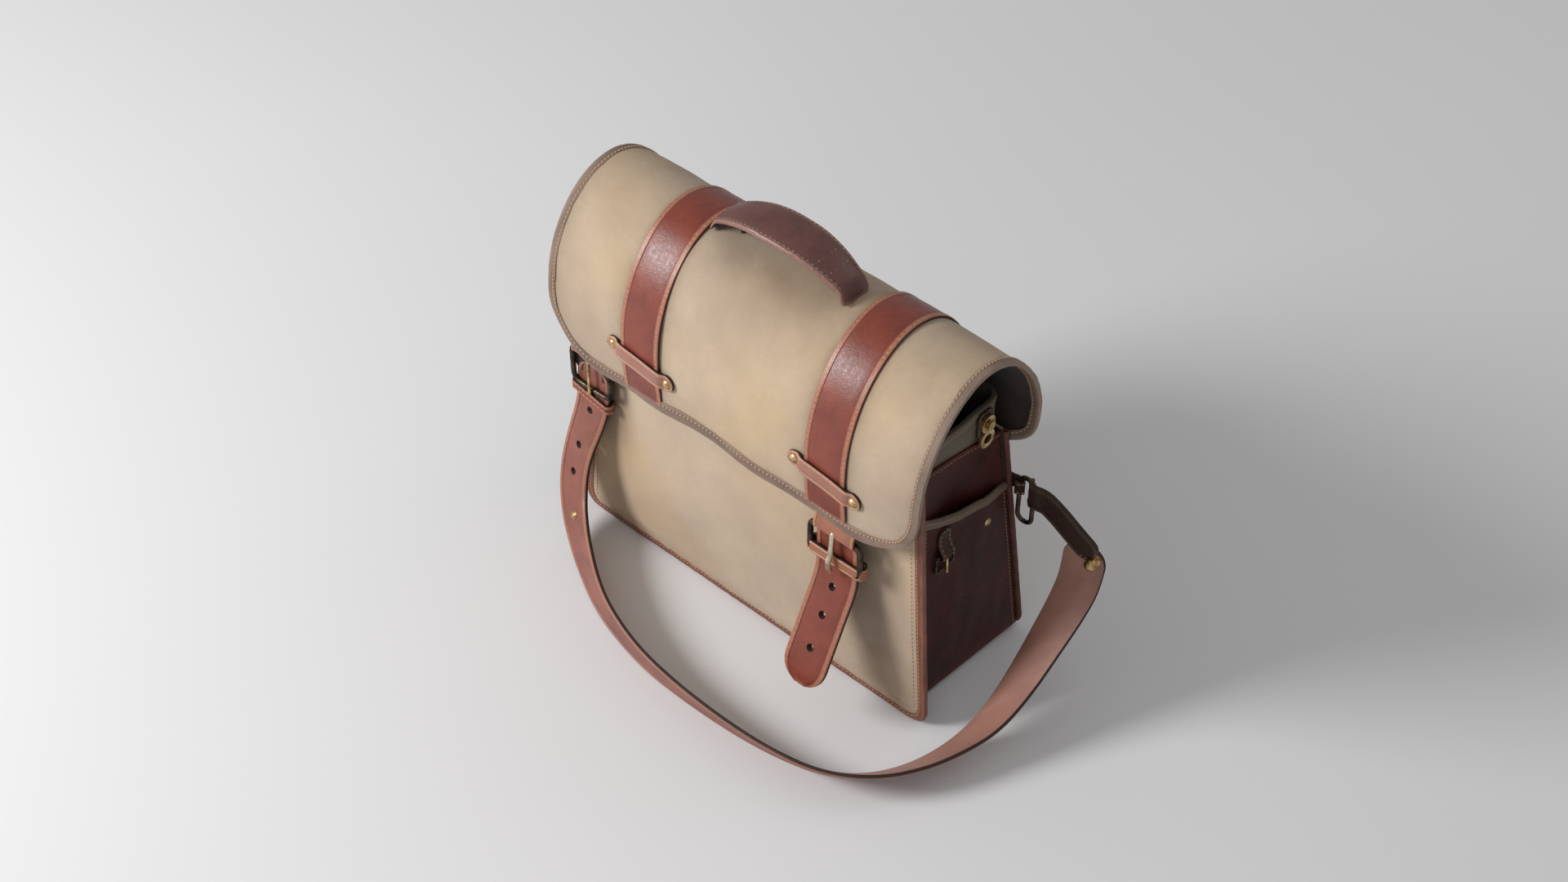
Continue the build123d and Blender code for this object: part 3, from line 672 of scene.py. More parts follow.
def shoulder_lines():
    """Centre line, direction across and stitched side of the shoulder strap."""
    route = np.array(SHOULDER_ROUTE)
    ahead = unit(np.vstack([route[1:], route[-1:]]) - np.vstack([route[:1], route[:-1]]))
    sight = np.array(SHOULDER_SIGHT)
    edge_on = unit(sight - ahead * (ahead @ sight)[:, None])
    turn = np.radians(SHOULDER_TURN)[:, None]
    side = np.cross(edge_on, ahead) * np.cos(turn) + edge_on * np.sin(turn)
    edge = [tuple(p) for p in route + 0.019 * side]
    centre, edge = spline_points(SHOULDER_ROUTE), spline_points(edge)
    ahead = heading(centre)
    across = squared(edge - centre, ahead)
    return centre, across, unit(np.cross(ahead, across))


ROUTE, ROUTE_ACROSS, ROUTE_UP = shoulder_lines()


def shoulder_strap():
    """The strap itself: points of the route's spline in its middle."""
    under = ROUTE - ROUTE_UP * (SHOULDER_T / 2)
    build, *_ = strap_build(under, ROUTE_ACROSS, ROUTE_UP, SHOULDER_W, SHOULDER_T, start=14.0, end=16.0,
                            groove=4.0, edge=3)
    obj = piece("shoulder_strap_leather", build, [CARRY, STRAP_INSIDE, THREAD, HOLE], "bag",
                ["shoulder_strap"], angle=50)
    places, ups = resampled(ROUTE, np.array(SHOULDER_HOLES), ROUTE_UP)
    ups = unit(ups)
    punched(obj, list(zip(places - ups * (SHOULDER_T / 2), ups)), SHOULDER_T)
    return obj, lengths(ROUTE)[-1] / MM


SHOULDER, SHOULDER_LENGTH = shoulder_strap()


# ---- body walls ----
def half_width(z):
    """Half the body's width at a height."""
    return PANEL_HALF - TAPER * z / WALL_TOP


def front_half(z):
    """Half the front panel's width at a height."""
    return FRONT_HALF - FRONT_TAPER * z / WALL_TOP


def side_inset(u, z):
    """How far a gusset or pocket is set back, u going from 0 at the front to 1 at the back."""
    return INSET * (1 - u) * max(1 - z / INSET_TOP, 0)


def front_y(z):
    """Depth of the front wall at a height."""
    return FRONT_FOOT - FRONT_LEAN * z / WALL_TOP


def back_y(z):
    """Depth of the back wall at a height."""
    return BACK_FOOT - BACK_LEAN * z / WALL_TOP


def spread(n, power=0.72):
    """Shares from -1 to 1, closer together near both ends."""
    u = np.linspace(-1, 1, n)
    return np.sign(u) * np.abs(u) ** power


def surface(rows, cols, place):
    """Points and wear over rows and columns, from place(row, column), which gives both."""
    cells = [[place(r, c) for c in cols] for r in rows]
    return [np.array([[cell[k] for cell in row] for row in cells]) for k in (0, 1)]


def panel_cloth(side, wall_y, half_at, bulge, bulge_top, seed):
    """Soft front (side -1) or back (side 1) panel with its sewn edge; wrinkles die out at the seams."""
    corner, foot, seam = 14.0, 2 * PIPE_R, 7.5
    heights = [foot + corner * (1 - cos(a)) for a in np.linspace(0, pi / 2, 7)]
    heights += list(np.linspace(foot + corner, WALL_TOP, 44)[1:])

    def place(z, share):
        gone = max(foot + corner - z, 0)
        half = half_at(z) - (corner - sqrt(max(corner ** 2 - gone ** 2, 0)))
        swell = bulge * sin(pi * z / bulge_top) if z < bulge_top else 0.0
        x = share * half
        # Darker along the piped sides and the foot: painted contact shade and grime.
        shade_and_grime = [exp(-(half - abs(x)) / 5.0), exp(-(z - foot) / 6.0)]
        if side < 0:
            # Painted shadow of the shoulder strap on the left of the front, and painted shade beside the
            # closure on the right.
            strap_shadow = 1.6 * exp(-((z - 150) / 62) ** 2) * exp(-((x + 153) / 16) ** 2)
            closure_shade = 0.75 * exp(-((x - 142) / 24.0) ** 2)
            shade_and_grime += [strap_shadow, closure_shade]
        return (x, wall_y(z) + side * swell * cos(pi * x / (2 * half_at(z))), z), max(shade_and_grime)

    grid, wear = surface(heights, spread(61), place)
    inset = np.minimum((half_at(0) - 3 - np.abs(grid[..., 0])) / 26, (grid[..., 2] - foot) / 26)
    calm = np.clip(inset, 0, 1) * np.clip((WALL_TOP - grid[..., 2]) / 30, 0, 1)
    waves = 1.9 * wander(grid * np.array([0.55, 1, 1]), 62, seed) + 0.8 * wander(grid, 24, seed + 3)
    hollow = -3.4 * np.exp(-((grid[..., 0] + 128) / 26) ** 2 - ((grid[..., 2] - 118) / 60) ** 2)
    hollow += 2.4 * np.exp(-((grid[..., 0] + 62) / 40) ** 2 - ((grid[..., 2] - 120) / 60) ** 2)
    grid[..., 1] += side * calm * (waves * 0.7 + hollow if side < 0 else waves)
    pucker = 0.35 * np.sin(grid[..., 0] / 2.7) * np.exp(-(grid[..., 2] - foot) / 7)
    grid[..., 1] += side * (pucker - 0.7 * np.exp(-((inset * 26 - 7) / 1.6) ** 2))
    build = Build().shell(grid, grid - side * 2.4 * DEEP, wear=wear * 0.9, slots=(0, 1, 0))
    edge = [(-half_at(z) + seam, z) for z in np.linspace(WALL_TOP - 4, foot + 16, 50)]
    edge += [(-half_at(0) + seam + 9 * (1 - cos(a)), foot + 16 - 9 * sin(a))
             for a in np.linspace(0.2, pi / 2, 6)]
    edge += [(-x, z) for x, z in reversed(edge)]
    return build.stitches([(x, surface_y(grid, x, z), z) for x, z in edge], side * DEEP, slot=2)


def surface_y(grid, x, z):
    """Depth of a panel's outer face at one place."""
    column = grid[:, :, 2].mean(axis=1)
    i = int(np.clip(np.searchsorted(column, z) - 1, 0, len(column) - 2))
    share = np.clip((z - column[i]) / (column[i + 1] - column[i]), 0, 1)
    a = np.interp(x, grid[i, :, 0], grid[i, :, 1])
    b = np.interp(x, grid[i + 1, :, 0], grid[i + 1, :, 1])
    return a + (b - a) * share


def corner_path(points, r, turns=7):
    """Polyline with its inner corners rounded."""
    points = [np.array(p, float) for p in points]
    out = [points[0]]
    for a, b, c in zip(points, points[1:], points[2:]):
        p, q = b + unit(a - b) * r, b + unit(c - b) * r
        out += [(1 - t) ** 2 * p + 2 * t * (1 - t) * b + t * t * q for t in np.linspace(0, 1, turns)]
    return np.array(out + [points[-1]])


def rope(line, r, sides=12, step=4.0, rough=0.12, seed=0, closed=False):
    """Round tube along a line, a little uneven."""
    line = np.asarray(line, float)
    at = np.arange(0, lengths(line)[-1], step) if closed else even(lengths(line)[-1], step)
    line = resampled(line, at)
    ahead = heading(line)
    side = unit(np.cross(ahead, DEEP + 0.01 * UP))
    other = unit(np.cross(side, ahead))
    w = np.linspace(0, 2 * pi, sides, endpoint=False)
    grid = line[:, None] + r * (side[:, None] * np.cos(w)[:, None] + other[:, None] * np.sin(w)[:, None])
    bump = 1 + rough * wander(grid, 5.0, seed)
    grid = line[:, None] + (grid - line[:, None]) * bump[..., None]
    return Build().tube(grid, closed=closed, wear=0.55 + 0.45 * wander(grid, 9, seed))


def piping(wall_y, half_at, side, name, node):
    """Corded leather edging along both sides and the bottom of a panel, with the flange it is sewn by."""
    reach = PIPE_R + 0.05
    y_low, y_top = wall_y(0) - side * 1.5, wall_y(WALL_TOP) - side * 1.5
    x_low, x_top = half_at(0) + reach, half_at(WALL_TOP) + reach
    path = corner_path([(-x_top, y_top, WALL_TOP), (-x_low, y_low, PIPE_R), (x_low, y_low, PIPE_R),
                        (x_top, y_top, WALL_TOP)], 16.0)
    build = rope(path, PIPE_R - 0.15, seed=side + 4)
    toward = unit(np.array([0, 0, 120.0]) - path) * np.array([1, 0, 1])
    line, facing = resampled(path + side * 1.9 * DEEP, even(lengths(path)[-1], 6.0), toward)
    facing = unit(facing)
    section = np.array([(1.2, -0.7), (5.2, -0.7), (6.2, -0.4), (6.4, 0.1), (5.0, 0.45), (1.2, 0.5)])
    grid = carried(line, facing, np.broadcast_to(side * DEEP, line.shape), section)
    build.tube(grid, wear=np.array([0.2, 0.4, 1.0, 1.0, 0.4, 0.2]))
    build.stitches(line + facing * 4.1 + side * 0.5 * DEEP, side * DEEP, pitch=4.2, length=2.6, r=0.36)
    # The back panel's piping takes the darker copy: painted shade.
    piece(name, build, [PIPING if side < 0 else PIPING_SHADED, THREAD], "bag", [node])


def gusset_leather(side, word):
    """Side wall that folds inwards, running up over the collar to a slanting stitched edge."""
    foot, over_collar, collar_x = 5.5, 244, 176.7
    us = np.linspace(0, 1, 33)

    def place(k, u):
        top = 275.0 - 20.0 * u ** 1.2
        z = foot + (top - foot) * k
        zz = min(z, WALL_TOP)
        y0, y1 = front_y(zz) + 4.35, back_y(zz) - 4.35
        dent = 12 * sin(pi * u) * sin(pi * zz / WALL_TOP) * (1 + 0.25 * sin(5 * u))
        x = half_width(zz) - 1.5 - dent - side_inset(u, zz)
        if z > over_collar:
            x += (collar_x + 0.5 * sin(9 * u) - x) * min((z - over_collar) / 14, 1)
        return (x, y0 + (y1 - y0) * u, z), max(exp(-min(u, 1 - u) / 0.05), exp(-(top - z) / 3.0))

    grid, wear = surface(np.linspace(0, 1, 46), us, place)
    calm = np.clip(np.minimum(us, 1 - us) / 0.12, 0, 1)[None, :] * np.clip((250 - grid[..., 2]) / 30, 0, 1)
    grid[..., 0] += calm * (1.5 * wander(grid * np.array([1, 1.6, 0.6]), 34, 5) + 0.5 * wander(grid, 11, 8))
    flip = mirror(side)
    build = Build().shell(grid * flip, (grid - 2.4 * RIGHT) * flip, wear=wear * 0.8)
    build.stitches(grid[-1] * flip + np.array([side * 0.1, 0, -3.2]), side * RIGHT, pitch=4.4)
    piece(f"gusset_{word}_leather", build, [DARK, DULL_THREAD], "bag", [f"gusset_{word}"])


def pocket_x(z):
    return half_width(z) + 1.2


def pocket_leather(side, word):
    """Open-topped side pocket with a bound curved mouth."""
    foot = 6.5
    us = np.linspace(0, 1, 37)

    def place(k, u):
        z = foot + (188 + 34 * (1 - u) ** 2 - foot) * k
        y0, y1 = front_y(z) + 4.3, back_y(z) - 4.3
        x = pocket_x(z) - side_inset(u, z) + 0.9 * sin(pi * u) * sin(pi * min(k, 1))
        return (x, y0 + (y1 - y0) * u, z), max(exp(-min(u, 1 - u) / 0.03), exp(-(z - foot) / 5.0))

    grid, wear = surface(np.linspace(0, 1, 40), us, place)
    calm = np.clip(np.minimum(us, 1 - us) / 0.1, 0, 1)[None, :] * np.clip((grid[..., 2] - 6) / 20, 0, 1)
    near_buckle = np.exp(-((grid[..., 1] + 45) / 26) ** 2 - ((grid[..., 2] - 180) / 40) ** 2)
    folds = 1.3 * wander(grid * np.array([1, 1.9, 0.55]), 30, 11) + 0.5 * wander(grid, 10, 2)
    grid[..., 0] += calm * (1 - near_buckle) * folds
    flip = mirror(side)
    build = Build().shell(grid * flip, (grid - 2.2 * RIGHT) * flip, wear=wear * 0.8)
    for column in (1, -2):
        build.stitches(grid[:, column] * flip + side * 0.15 * RIGHT, side * RIGHT)
    piece(f"pocket_{word}_leather", build, [DARK, DULL_THREAD], "bag",
          [f"side_pocket_{word}"])
    section = np.array([(-5.6, 0.1), (-5.6, 0.9), (-2.0, 1.9), (0.9, 1.6), (1.9, -1.1), (0.9, -3.2),
                        (-1.4, -3.7), (-5.4, -3.1), (-5.6, -2.3)])
    line = grid[-1] + 3.6 * UP
    ahead = heading(line)
    out = np.broadcast_to(RIGHT, line.shape)
    up = unit(np.cross(out, ahead))
    up = up * np.sign(up[:, 2:3])
    rim = carried(line, up, out, section)
    rim[..., 0] += 0.25 * wander(rim, 6, 3)
    build = Build().tube(rim * flip, wear=np.array([0.3, 0.7, 0.6, 1.0, 1.0, 1.0, 0.6, 0.7, 0.3]))
    build.stitches((line - up * 2.6 + out * 1.0) * flip, side * RIGHT, pitch=4.0, length=2.6)
    piece(f"pocket_{word}_binding", build, [DARK_EDGE, DULL_THREAD], "bag",
          [f"pocket_binding_{word}"])


def rounded_box(places, half, r, turns):
    """Outline in plan from four corner centres (sign of x, y), half(y) giving the half width there."""
    outline = []
    for (sx, y), start in zip(places, (-pi / 2, 0, pi / 2, pi)):
        cx = sx * (half(y) - r)
        outline += [(cx + r * cos(start + a), y + r * sin(start + a)) for a in np.linspace(0, pi / 2, turns)]
    return np.array(outline + outline[:1])


def collar_cloth():
    """Soft standing collar round the mouth, with a stitched hem."""
    rows, r = 15, 16.0
    y0, y1 = front_y(WALL_TOP) + r, back_y(WALL_TOP) - r
    ring = rounded_box([(1, y0), (1, y1), (-1, y1), (-1, y0)], lambda y: half_width(WALL_TOP) - 1.5, r, 9)
    loop = divided(np.column_stack([ring, np.zeros(len(ring))]), 181)[:-1]
    out = unit(np.cross(np.roll(loop, -1, 0) - np.roll(loop, 1, 0), UP))
    profile = np.array([(-3.0, 0.0), (10, 0.1), (20, 0.3), (27, 0.3), (29.5, -0.4), (32, 0.4), (36, 0.7),
                        (38.2, 0.2), (38.6, -1.0)])
    share = np.linspace(0, 1, rows)
    zs, offs = (np.interp(share, np.linspace(0, 1, len(profile)), profile[:, k]) for k in (0, 1))
    outer = np.array([loop + out * o + np.array([0, 0, WALL_TOP + z]) for z, o in zip(zs, offs)])
    waves = 0.9 * wander(outer * np.array([1, 1, 0.5]), 26, 6) + 0.4 * wander(outer, 9, 1)
    outer += out[None] * (waves * np.linspace(0.1, 1, rows)[:, None])[..., None] - out[None] * 0.9
    # The collar's canvas darkens along its foot and its top edge.
    wear = np.array([0.6] + [0.1] * 10 + [0.5, 0.4, 0.8, 1.0])[:, None]
    wear = np.broadcast_to(wear, outer.shape[:2])
    build = Build().shell(outer, outer - out[None] * 2.2, wrap=True, wear=wear)
    hem = outer[10]
    build.stitches(np.vstack([hem, hem[:1]]), np.vstack([out, out[:1]]))
    piece("collar_cloth", build, [COLLAR, DULL_THREAD], "bag", ["collar"])


def base_leather():
    """Bottom panel with turned-up rounded edges."""
    r = 8.0
    front, back = low("base_panel").y + 0.4 + r, high("base_panel").y - 0.4 - r
    outline = rounded_box([(1, front), (1, back), (-1, back), (-1, front)],
                          lambda y: 182.4 if y > 0 else 172.4, r, 8)
    shares = ((0.02, 0.5), (0.4, 0.4), (0.8, 0.25), (0.94, 0.15), (0.975, 0.3), (0.992, 1.2), (1.0, 2.8),
              (0.995, 4.4), (0.97, 5.3), (0.6, 5.4), (0.02, 5.4))
    grid = np.array([[(x * share, y * share, z) for x, y in outline[:-1]] for share, z in shares])
    grid[..., 2] += np.clip(0.25 * wander(grid, 22, 4), -0.1, 0.3) * (grid[..., 2] > 0.2)
    build = Build().tube(grid, wear=(grid[..., 2] < 1.5) * 0.5)
    build.stitches([(x * 0.93, y * 0.93, 0.35) for x, y in outline], -UP)
    piece("base_leather", build, [DARK, DULL_THREAD], "bag", ["base_panel"])


def body_walls():
    front = panel_cloth(-1, front_y, front_half, 10.0, WALL_TOP, 1.0)
    back = panel_cloth(1, back_y, half_width, 12.0, 208.0, 2.0)
    for word, build in (("front", front), ("back", back)):
        piece(f"{word}_panel_cloth", build, [CANVAS, LINING, THREAD], "bag", [f"{word}_panel"])
    piping(front_y, front_half, -1, "front_piping_cord", "front_piping")
    piping(back_y, half_width, 1, "back_piping_cord", "back_piping")
    for side, word in SIDES:
        gusset_leather(side, word)
        pocket_leather(side, word)
    collar_cloth()
    base_leather()


body_walls()


# ---- flap ----
def flap_profile():
    """Outer face of the flap (y, z) from the tail's sewn edge, over the top, to below its front edge."""
    tail = [(36.4, 228.2), (35.4, 236.0), (37.0, 243.0), (42.0, 251.0), (45.2, 261.0), (46.9, 272.0),
            (47.2, 281.0), (46.2, 288.5)]
    start = np.arcsin((294.0 - FLAP_Z) / FLAP_B)
    arch = [(FLAP_Y + FLAP_A * cos(a), FLAP_Z + FLAP_B * sin(a)) for a in np.linspace(start, pi, 60)]
    drop = FLAP_Z - HEM_Z
    skirt = [(FLAP_Y - FLAP_A + 4 * (h / drop) ** 2, FLAP_Z - h) for h in np.linspace(0, 66, 16)[1:]]
    return np.array([(0, y, z) for y, z in tail + arch + skirt])


PROFILE = flap_profile()
PROFILE_RUN = lengths(PROFILE)
PROFILE_NORMAL = np.cross(unit(np.gradient(PROFILE, axis=0)), RIGHT)
if PROFILE_NORMAL[40, 2] < 0:
    PROFILE_NORMAL = -PROFILE_NORMAL
TAIL_RUN = PROFILE_RUN[7]


def run_at_height(z):
    """Length along the profile at a height on its front side."""
    front = slice(40, len(PROFILE))
    return np.interp(-z, -PROFILE[front, 2], PROFILE_RUN[front])


def lower_edge(x):
    """Height of the flap's front edge: wavy, with large rounded corners."""
    wave = HEM_Z + 6 * exp(-((x + 35) / 48) ** 2) - 2.2 * exp(-((x - 95) / 42) ** 2) + 0.7 * sin(x / 11.0)
    past = max(abs(x) - (FLAP_HALF - CORNER_R), 0)
    return wave + (CORNER_R - sqrt(max(CORNER_R ** 2 - past * past, 0)))


def tail_share(run):
    """Width of the tail at a length along the profile, as a share of the flap's."""
    z = np.interp(run, PROFILE_RUN, PROFILE[:, 2])
    back = run < PROFILE_RUN[8]
    return np.where(back, np.interp(z, [228, 239, 245, 253], [170, 174, 189, FLAP_HALF]) / FLAP_HALF, 1.0)


def flap_point(x, run, lift=0.0):
    """Point and normal of the flap's outer face at x and a length along its profile, lifted off it."""
    x, run = np.broadcast_arrays(np.asarray(x, float), np.asarray(run, float))
    p = np.stack([np.interp(run, PROFILE_RUN, PROFILE[:, k]) for k in range(3)], axis=-1)
    n = unit(np.stack([np.interp(run, PROFILE_RUN, PROFILE_NORMAL[:, k]) for k in range(3)], axis=-1))
    p[..., 0] = x * tail_share(run)
    where = np.stack([x * 0.8, run * 0.55, np.zeros_like(run)], axis=-1)
    soft = 1.7 * wander(where, 46, 3) + 0.55 * wander(where, 17, 9)
    over = np.clip((run - TAIL_RUN) / 40, 0, 1)
    soft = soft * over
    for middle_x in STRAPS.values():
        soft = soft - 1.3 * np.exp(-((x - middle_x) / 26) ** 2) * over
    hem = np.exp(-np.clip(run_at_height(210) - run, 0, 200) / 14.0)
    soft = soft + hem * 1.1 * np.sin(x / 15.0 + 0.8 * np.sin(x / 37.0))
    soft = soft - 0.8 * np.exp(-np.clip(FLAP_HALF - np.abs(x), 0, 400) / 30) * over
    return p + n * (soft + lift)[..., None], n


def flap_columns():
    bend = FLAP_HALF - CORNER_R
    corner = [bend + CORNER_R * sin(a) for a in np.linspace(0, pi / 2, 15)]
    half = list(np.linspace(0, bend, 28)[:-1]) + corner
    return np.array([-x for x in reversed(half[1:])] + half)


def flap_grid():
    xs = flap_columns()
    common = run_at_height(278.0)
    upper = np.concatenate([np.linspace(0, TAIL_RUN, 16)[:-1], np.linspace(TAIL_RUN, common, 74)])
    ends = np.array([run_at_height(lower_edge(x)) for x in xs])
    lower = common + (ends - common)[None, :] * np.linspace(0, 1, 25)[1:, None]
    runs = np.vstack([np.repeat(upper[:, None], len(xs), 1), lower])
    return flap_point(np.broadcast_to(xs, runs.shape), runs)


def flap_wear(grid):
    """Darkening of the flap's canvas: grime with painted contact shade beside the straps and the bound edge,
    painted shade along the crest and a painted shadow of the handle.
    """
    x = grid[..., 0]
    # Darker near the flap's sides, beside the straps and above the bound hem: painted contact shade and
    # grime.
    wear = np.exp(-(FLAP_HALF - np.abs(x)) / 16.0) * 0.85
    front = grid[..., 1] < FLAP_Y
    strapped = np.where(front, 1.0, np.clip((grid[..., 2] - STRAP_BACK_END + 4) / 8, 0, 1))
    for middle_x in STRAPS.values():
        beside = np.exp(-np.clip(np.abs(x - middle_x) - 21, 0, 99) / 8.0)
        wear = np.maximum(wear, 0.75 * beside * strapped)
    edge = np.array([[lower_edge(v) for v in row] for row in x])
    wear = np.maximum(wear, np.where(front, 0.6 * np.exp(-np.clip(grid[..., 2] - edge, 0, 200) / 12.0), 0))
    grip = middle("handle")
    # Painted shadow of the handle, on the flap in front of it.
    handle_shadow = np.exp(-((grid[..., 1] - grip.y + 20) / 15) ** 2) * np.exp(-((x - grip.x - 8) / 60) ** 4)
    # Painted shade along the crest.
    crest_and_handle_shade = 0.42 * np.exp(-((grid[..., 2] - CREST) / 30) ** 2)
    crest_and_handle_shade += 0.4 * handle_shadow * (grid[..., 2] > FLAP_Z)
    return np.maximum(wear, crest_and_handle_shade)


BLEND = ("bag", "flap", (0, 0.048, 0.276), (0, 0.034, 0.288))


def flap_cloth():
    outer, n = flap_grid()
    inner = outer - n * FLAP_THICK
    build = Build().shell(outer, inner, wear=flap_wear(outer), slots=(0, 1, 0))
    return piece("flap_cloth", build, [CANVAS, LINING], None, ["flap_cover", "flap_tail"],
                 blend=BLEND)


def flap_rim():
    """The flap's outline: points on the outer face, direction out over the edge, and normal."""
    grid, n = flap_grid()
    loop = [(i, -1) for i in range(len(grid) - 1)] + [(-1, j) for j in range(grid.shape[1] - 1, 0, -1)]
    loop += [(i, 0) for i in range(len(grid) - 1, -1, -1)]
    points = np.array([grid[i, j] for i, j in loop])
    normal = np.array([n[i, j] for i, j in loop])
    points, normal = resampled(points, even(lengths(points)[-1], 3.6), normal)
    kernel = np.array([1, 2, 3, 2, 1]) / 9.0
    for k in range(3):
        points[2:-2, k] = np.convolve(points[:, k], kernel, "valid")
    ahead = heading(points)
    out = unit(np.cross(ahead, normal))
    if out[10, 0] < 0:
        out = -out
    return points, out, unit(normal)


def flap_edge():
    """Folded binding round the flap, with its stitching on both faces."""
    points, out, normal = flap_rim()
    t = -FLAP_THICK
    section = np.array([(-7.4, 0.35), (-7.1, 0.95), (-5.6, 0.8), (-3.4, 1.2), (-1.0, 1.3), (0.6, 0.7),
                        (1.1, t / 2), (0.6, t - 0.7), (-1.0, t - 1.2), (-3.4, t - 1.1), (-5.6, t - 0.8),
                        (-7.1, t - 0.9), (-7.4, t - 0.3)])
    front = np.clip((FLAP_HALF - 14 - np.abs(points[:, 0])) / 40, 0, 1) * (points[:, 1] < FLAP_Y)
    widths = 1 + 0.75 * front
    grid = carried(points, out, normal, section, widths)
    rough = 0.35 * wander(grid, 5.0, 21) + 0.3 * wander(grid, 13.0, 5)
    grid += normal[:, None] * (rough * np.sign(section[:, 1] - t / 2))[..., None] * 0.8
    grid += out[:, None] * (0.6 * wander(grid, 9.0, 8) * (section[:, 0] < -6))[..., None]
    worn = np.array([0.7, 0.9, 0.3, 0.35, 0.6, 1.0, 1.0, 1.0, 0.6, 0.35, 0.3, 0.9, 0.7])
    build = Build().tube(grid, wear=worn[None, :] * (0.75 + 0.25 * wander(grid, 16, 2)))
    seam = points - out * (5.5 * widths)[:, None]
    build.stitches(seam + normal * 0.85, normal, pitch=3.9, length=2.9, r=0.62)
    build.stitches(seam + normal * (t - 0.85), -normal, pitch=3.9, length=2.7, r=0.45)
    return piece("flap_edge_binding", build, [BINDING, THREAD], None,
                 ["flap_binding", "tail_binding"], blend=BLEND)


def flap_straps():
    for word, middle_x in STRAPS.items():
        start = np.interp(STRAP_BACK_END, PROFILE[:20, 2], PROFILE_RUN[:20])
        runs = np.arange(start, run_at_height(STRAP_FRONT_END), 3.0)
        line, n = flap_point(np.full(len(runs), middle_x), runs, 0.35)
        build, *_ = strap_build(line, -RIGHT, n, FLAP_STRAP_W, FLAP_STRAP_T, stitch=2.7, groove=4.4, end=3.0)
        strap_piece(f"flap_strap_{word}", build, STRAP, "flap")


def keeper_place(middle_x, u, lift):
    """Point and normal on the flap at a distance along a keeper from its middle."""
    run = run_at_height(KEEPER_Z - u * sin(KEEPER_TILT))
    return flap_point(middle_x + u * cos(KEEPER_TILT), run, lift)


def keepers():
    """Leather bars over the straps, each held by two domed rivets."""
    caps = Build()
    for word, middle_x in STRAPS.items():
        us = np.linspace(-KEEPER_HALF, KEEPER_HALF, 60)
        over = 0.5 * (1 - np.tanh((np.abs(us) - 25) / 1.6))
        line, n = keeper_place(middle_x, us, 0.4)
        line = line + n * (over * 2.9)[:, None]
        ahead = heading(line)
        up = squared(n, ahead)
        build, *_ = strap_build(line, np.cross(up, ahead), up, 17.0, 2.3, step=2.4, start=8.0, end=8.0,
                                stitch=2.4, groove=2.3)
        strap_piece(f"keeper_{word}", build, PALE, "flap")
        for side in (-1, 1):
            caps.dome(*keeper_place(middle_x, side * 30.5, 2.8), 4.4, 2.2)
    piece("keeper_rivet_caps", caps, [BRASS], "flap", ["keeper_rivets"])


def handle():
    """Carrying handle: a crowned grip whose ends bend down and are sewn to the flap."""
    centre = middle("handle")
    half_span = (high("handle").x - low("handle").x) / 2
    crown, foot = high("handle").z + 2, CREST + 8.5
    us = np.linspace(-1.14, 1.14, 75)
    z, half = [], []
    for a in np.abs(us):
        if a <= 1:
            z.append(foot + (crown - foot) * (1 - a ** 2.4))
            half.append(21.0 - 6.0 * a ** 2)
        else:
            ease = min((a - 1) / 0.1, 1)
            z.append(foot - (foot - CREST - 0.2) * (ease * ease * (3 - 2 * ease)))
            half.append(15.0 + 1.0 * ease)
    line = np.column_stack([centre.x + us * half_span, np.full(len(us), centre.y), np.array(z)])
    up = unit(np.cross(heading(line), DEEP))
    side = [(-1, 0.2, 1), (-0.985, 0.55, 1), (-0.93, 0.8, 0.9), (-0.84, 0.86, 0.5), (-0.78, 0.8, 0.3),
            (-0.7, 0.92, 0.1), (-0.35, 1.06, 0)]
    top = side + [(0, 1.1, 0)] + [(-a, h, w) for a, h, w in reversed(side)]
    under = [(0.96, 0.0, 0.9), (0.5, -0.1, 0.1), (0, -0.14, 0), (-0.5, -0.1, 0.1), (-0.96, 0.0, 0.9)]
    across, share, wear = np.array(top + under, float).T
    thick = 5.2 - 2.4 * np.clip((np.abs(us) - 0.95) / 0.15, 0, 1)
    half = np.array(half) * tip_widths(lengths(line), 15.0, 5.0, 5.0)
    grid = line[:, None] + DEEP * (across * half[:, None])[..., None]
    grid = grid + up[:, None] * (share * thick[:, None])[..., None]
    grid += up[:, None] * (0.35 * wander(grid, 15, 7))[..., None]
    build = Build().tube(grid, wear=wear, slots=[0] * (len(top) - 1) + [1] * 6)
    for sign in (-1, 1):
        seam = line + DEEP * (sign * (half - 3.0))[:, None] + up * (thick * 0.86)[:, None]
        build.stitches(seam[4:-4], up[4:-4], slot=2)
    for place in (0.62, 0.8):
        k = int(np.argmin(np.abs(us - place)))
        bar = [line[k] + DEEP * v + up[k] * thick[k] * 0.99 for v in np.linspace(-11, 11, 9)]
        build.stitches(bar, up[k], slot=2)
    piece("handle_leather", build, [HANDLE, HOLE, DULL_THREAD], None, ["handle"],
          blend=("flap", "carry_handle", (centre.x / MM, centre.y / MM, (CREST + 1.2) / MM),
                 (centre.x / MM, centre.y / MM, (CREST + 8) / MM)))


def flap():
    cloth = flap_cloth()
    edge = flap_edge()
    flap_straps()
    keepers()
    handle()
    width, length = 2 * FLAP_HALF / MM, run_at_height(HEM_Z) / MM


flap()


# ---- front closure ----
def cast_frame(top, half, tall, r):
    """Rounded buckle frame hanging from its bar, whose middle is at top."""
    x, y, z = top
    path = corner_path([(x, y, z), (x - half, y, z), (x - half, y, z - tall), (x + half, y, z - tall),
                        (x + half, y, z), (x, y, z)], 9.0, 9)
    return rope(path, r, sides=14, step=2.0, rough=0.1, seed=3, closed=True)


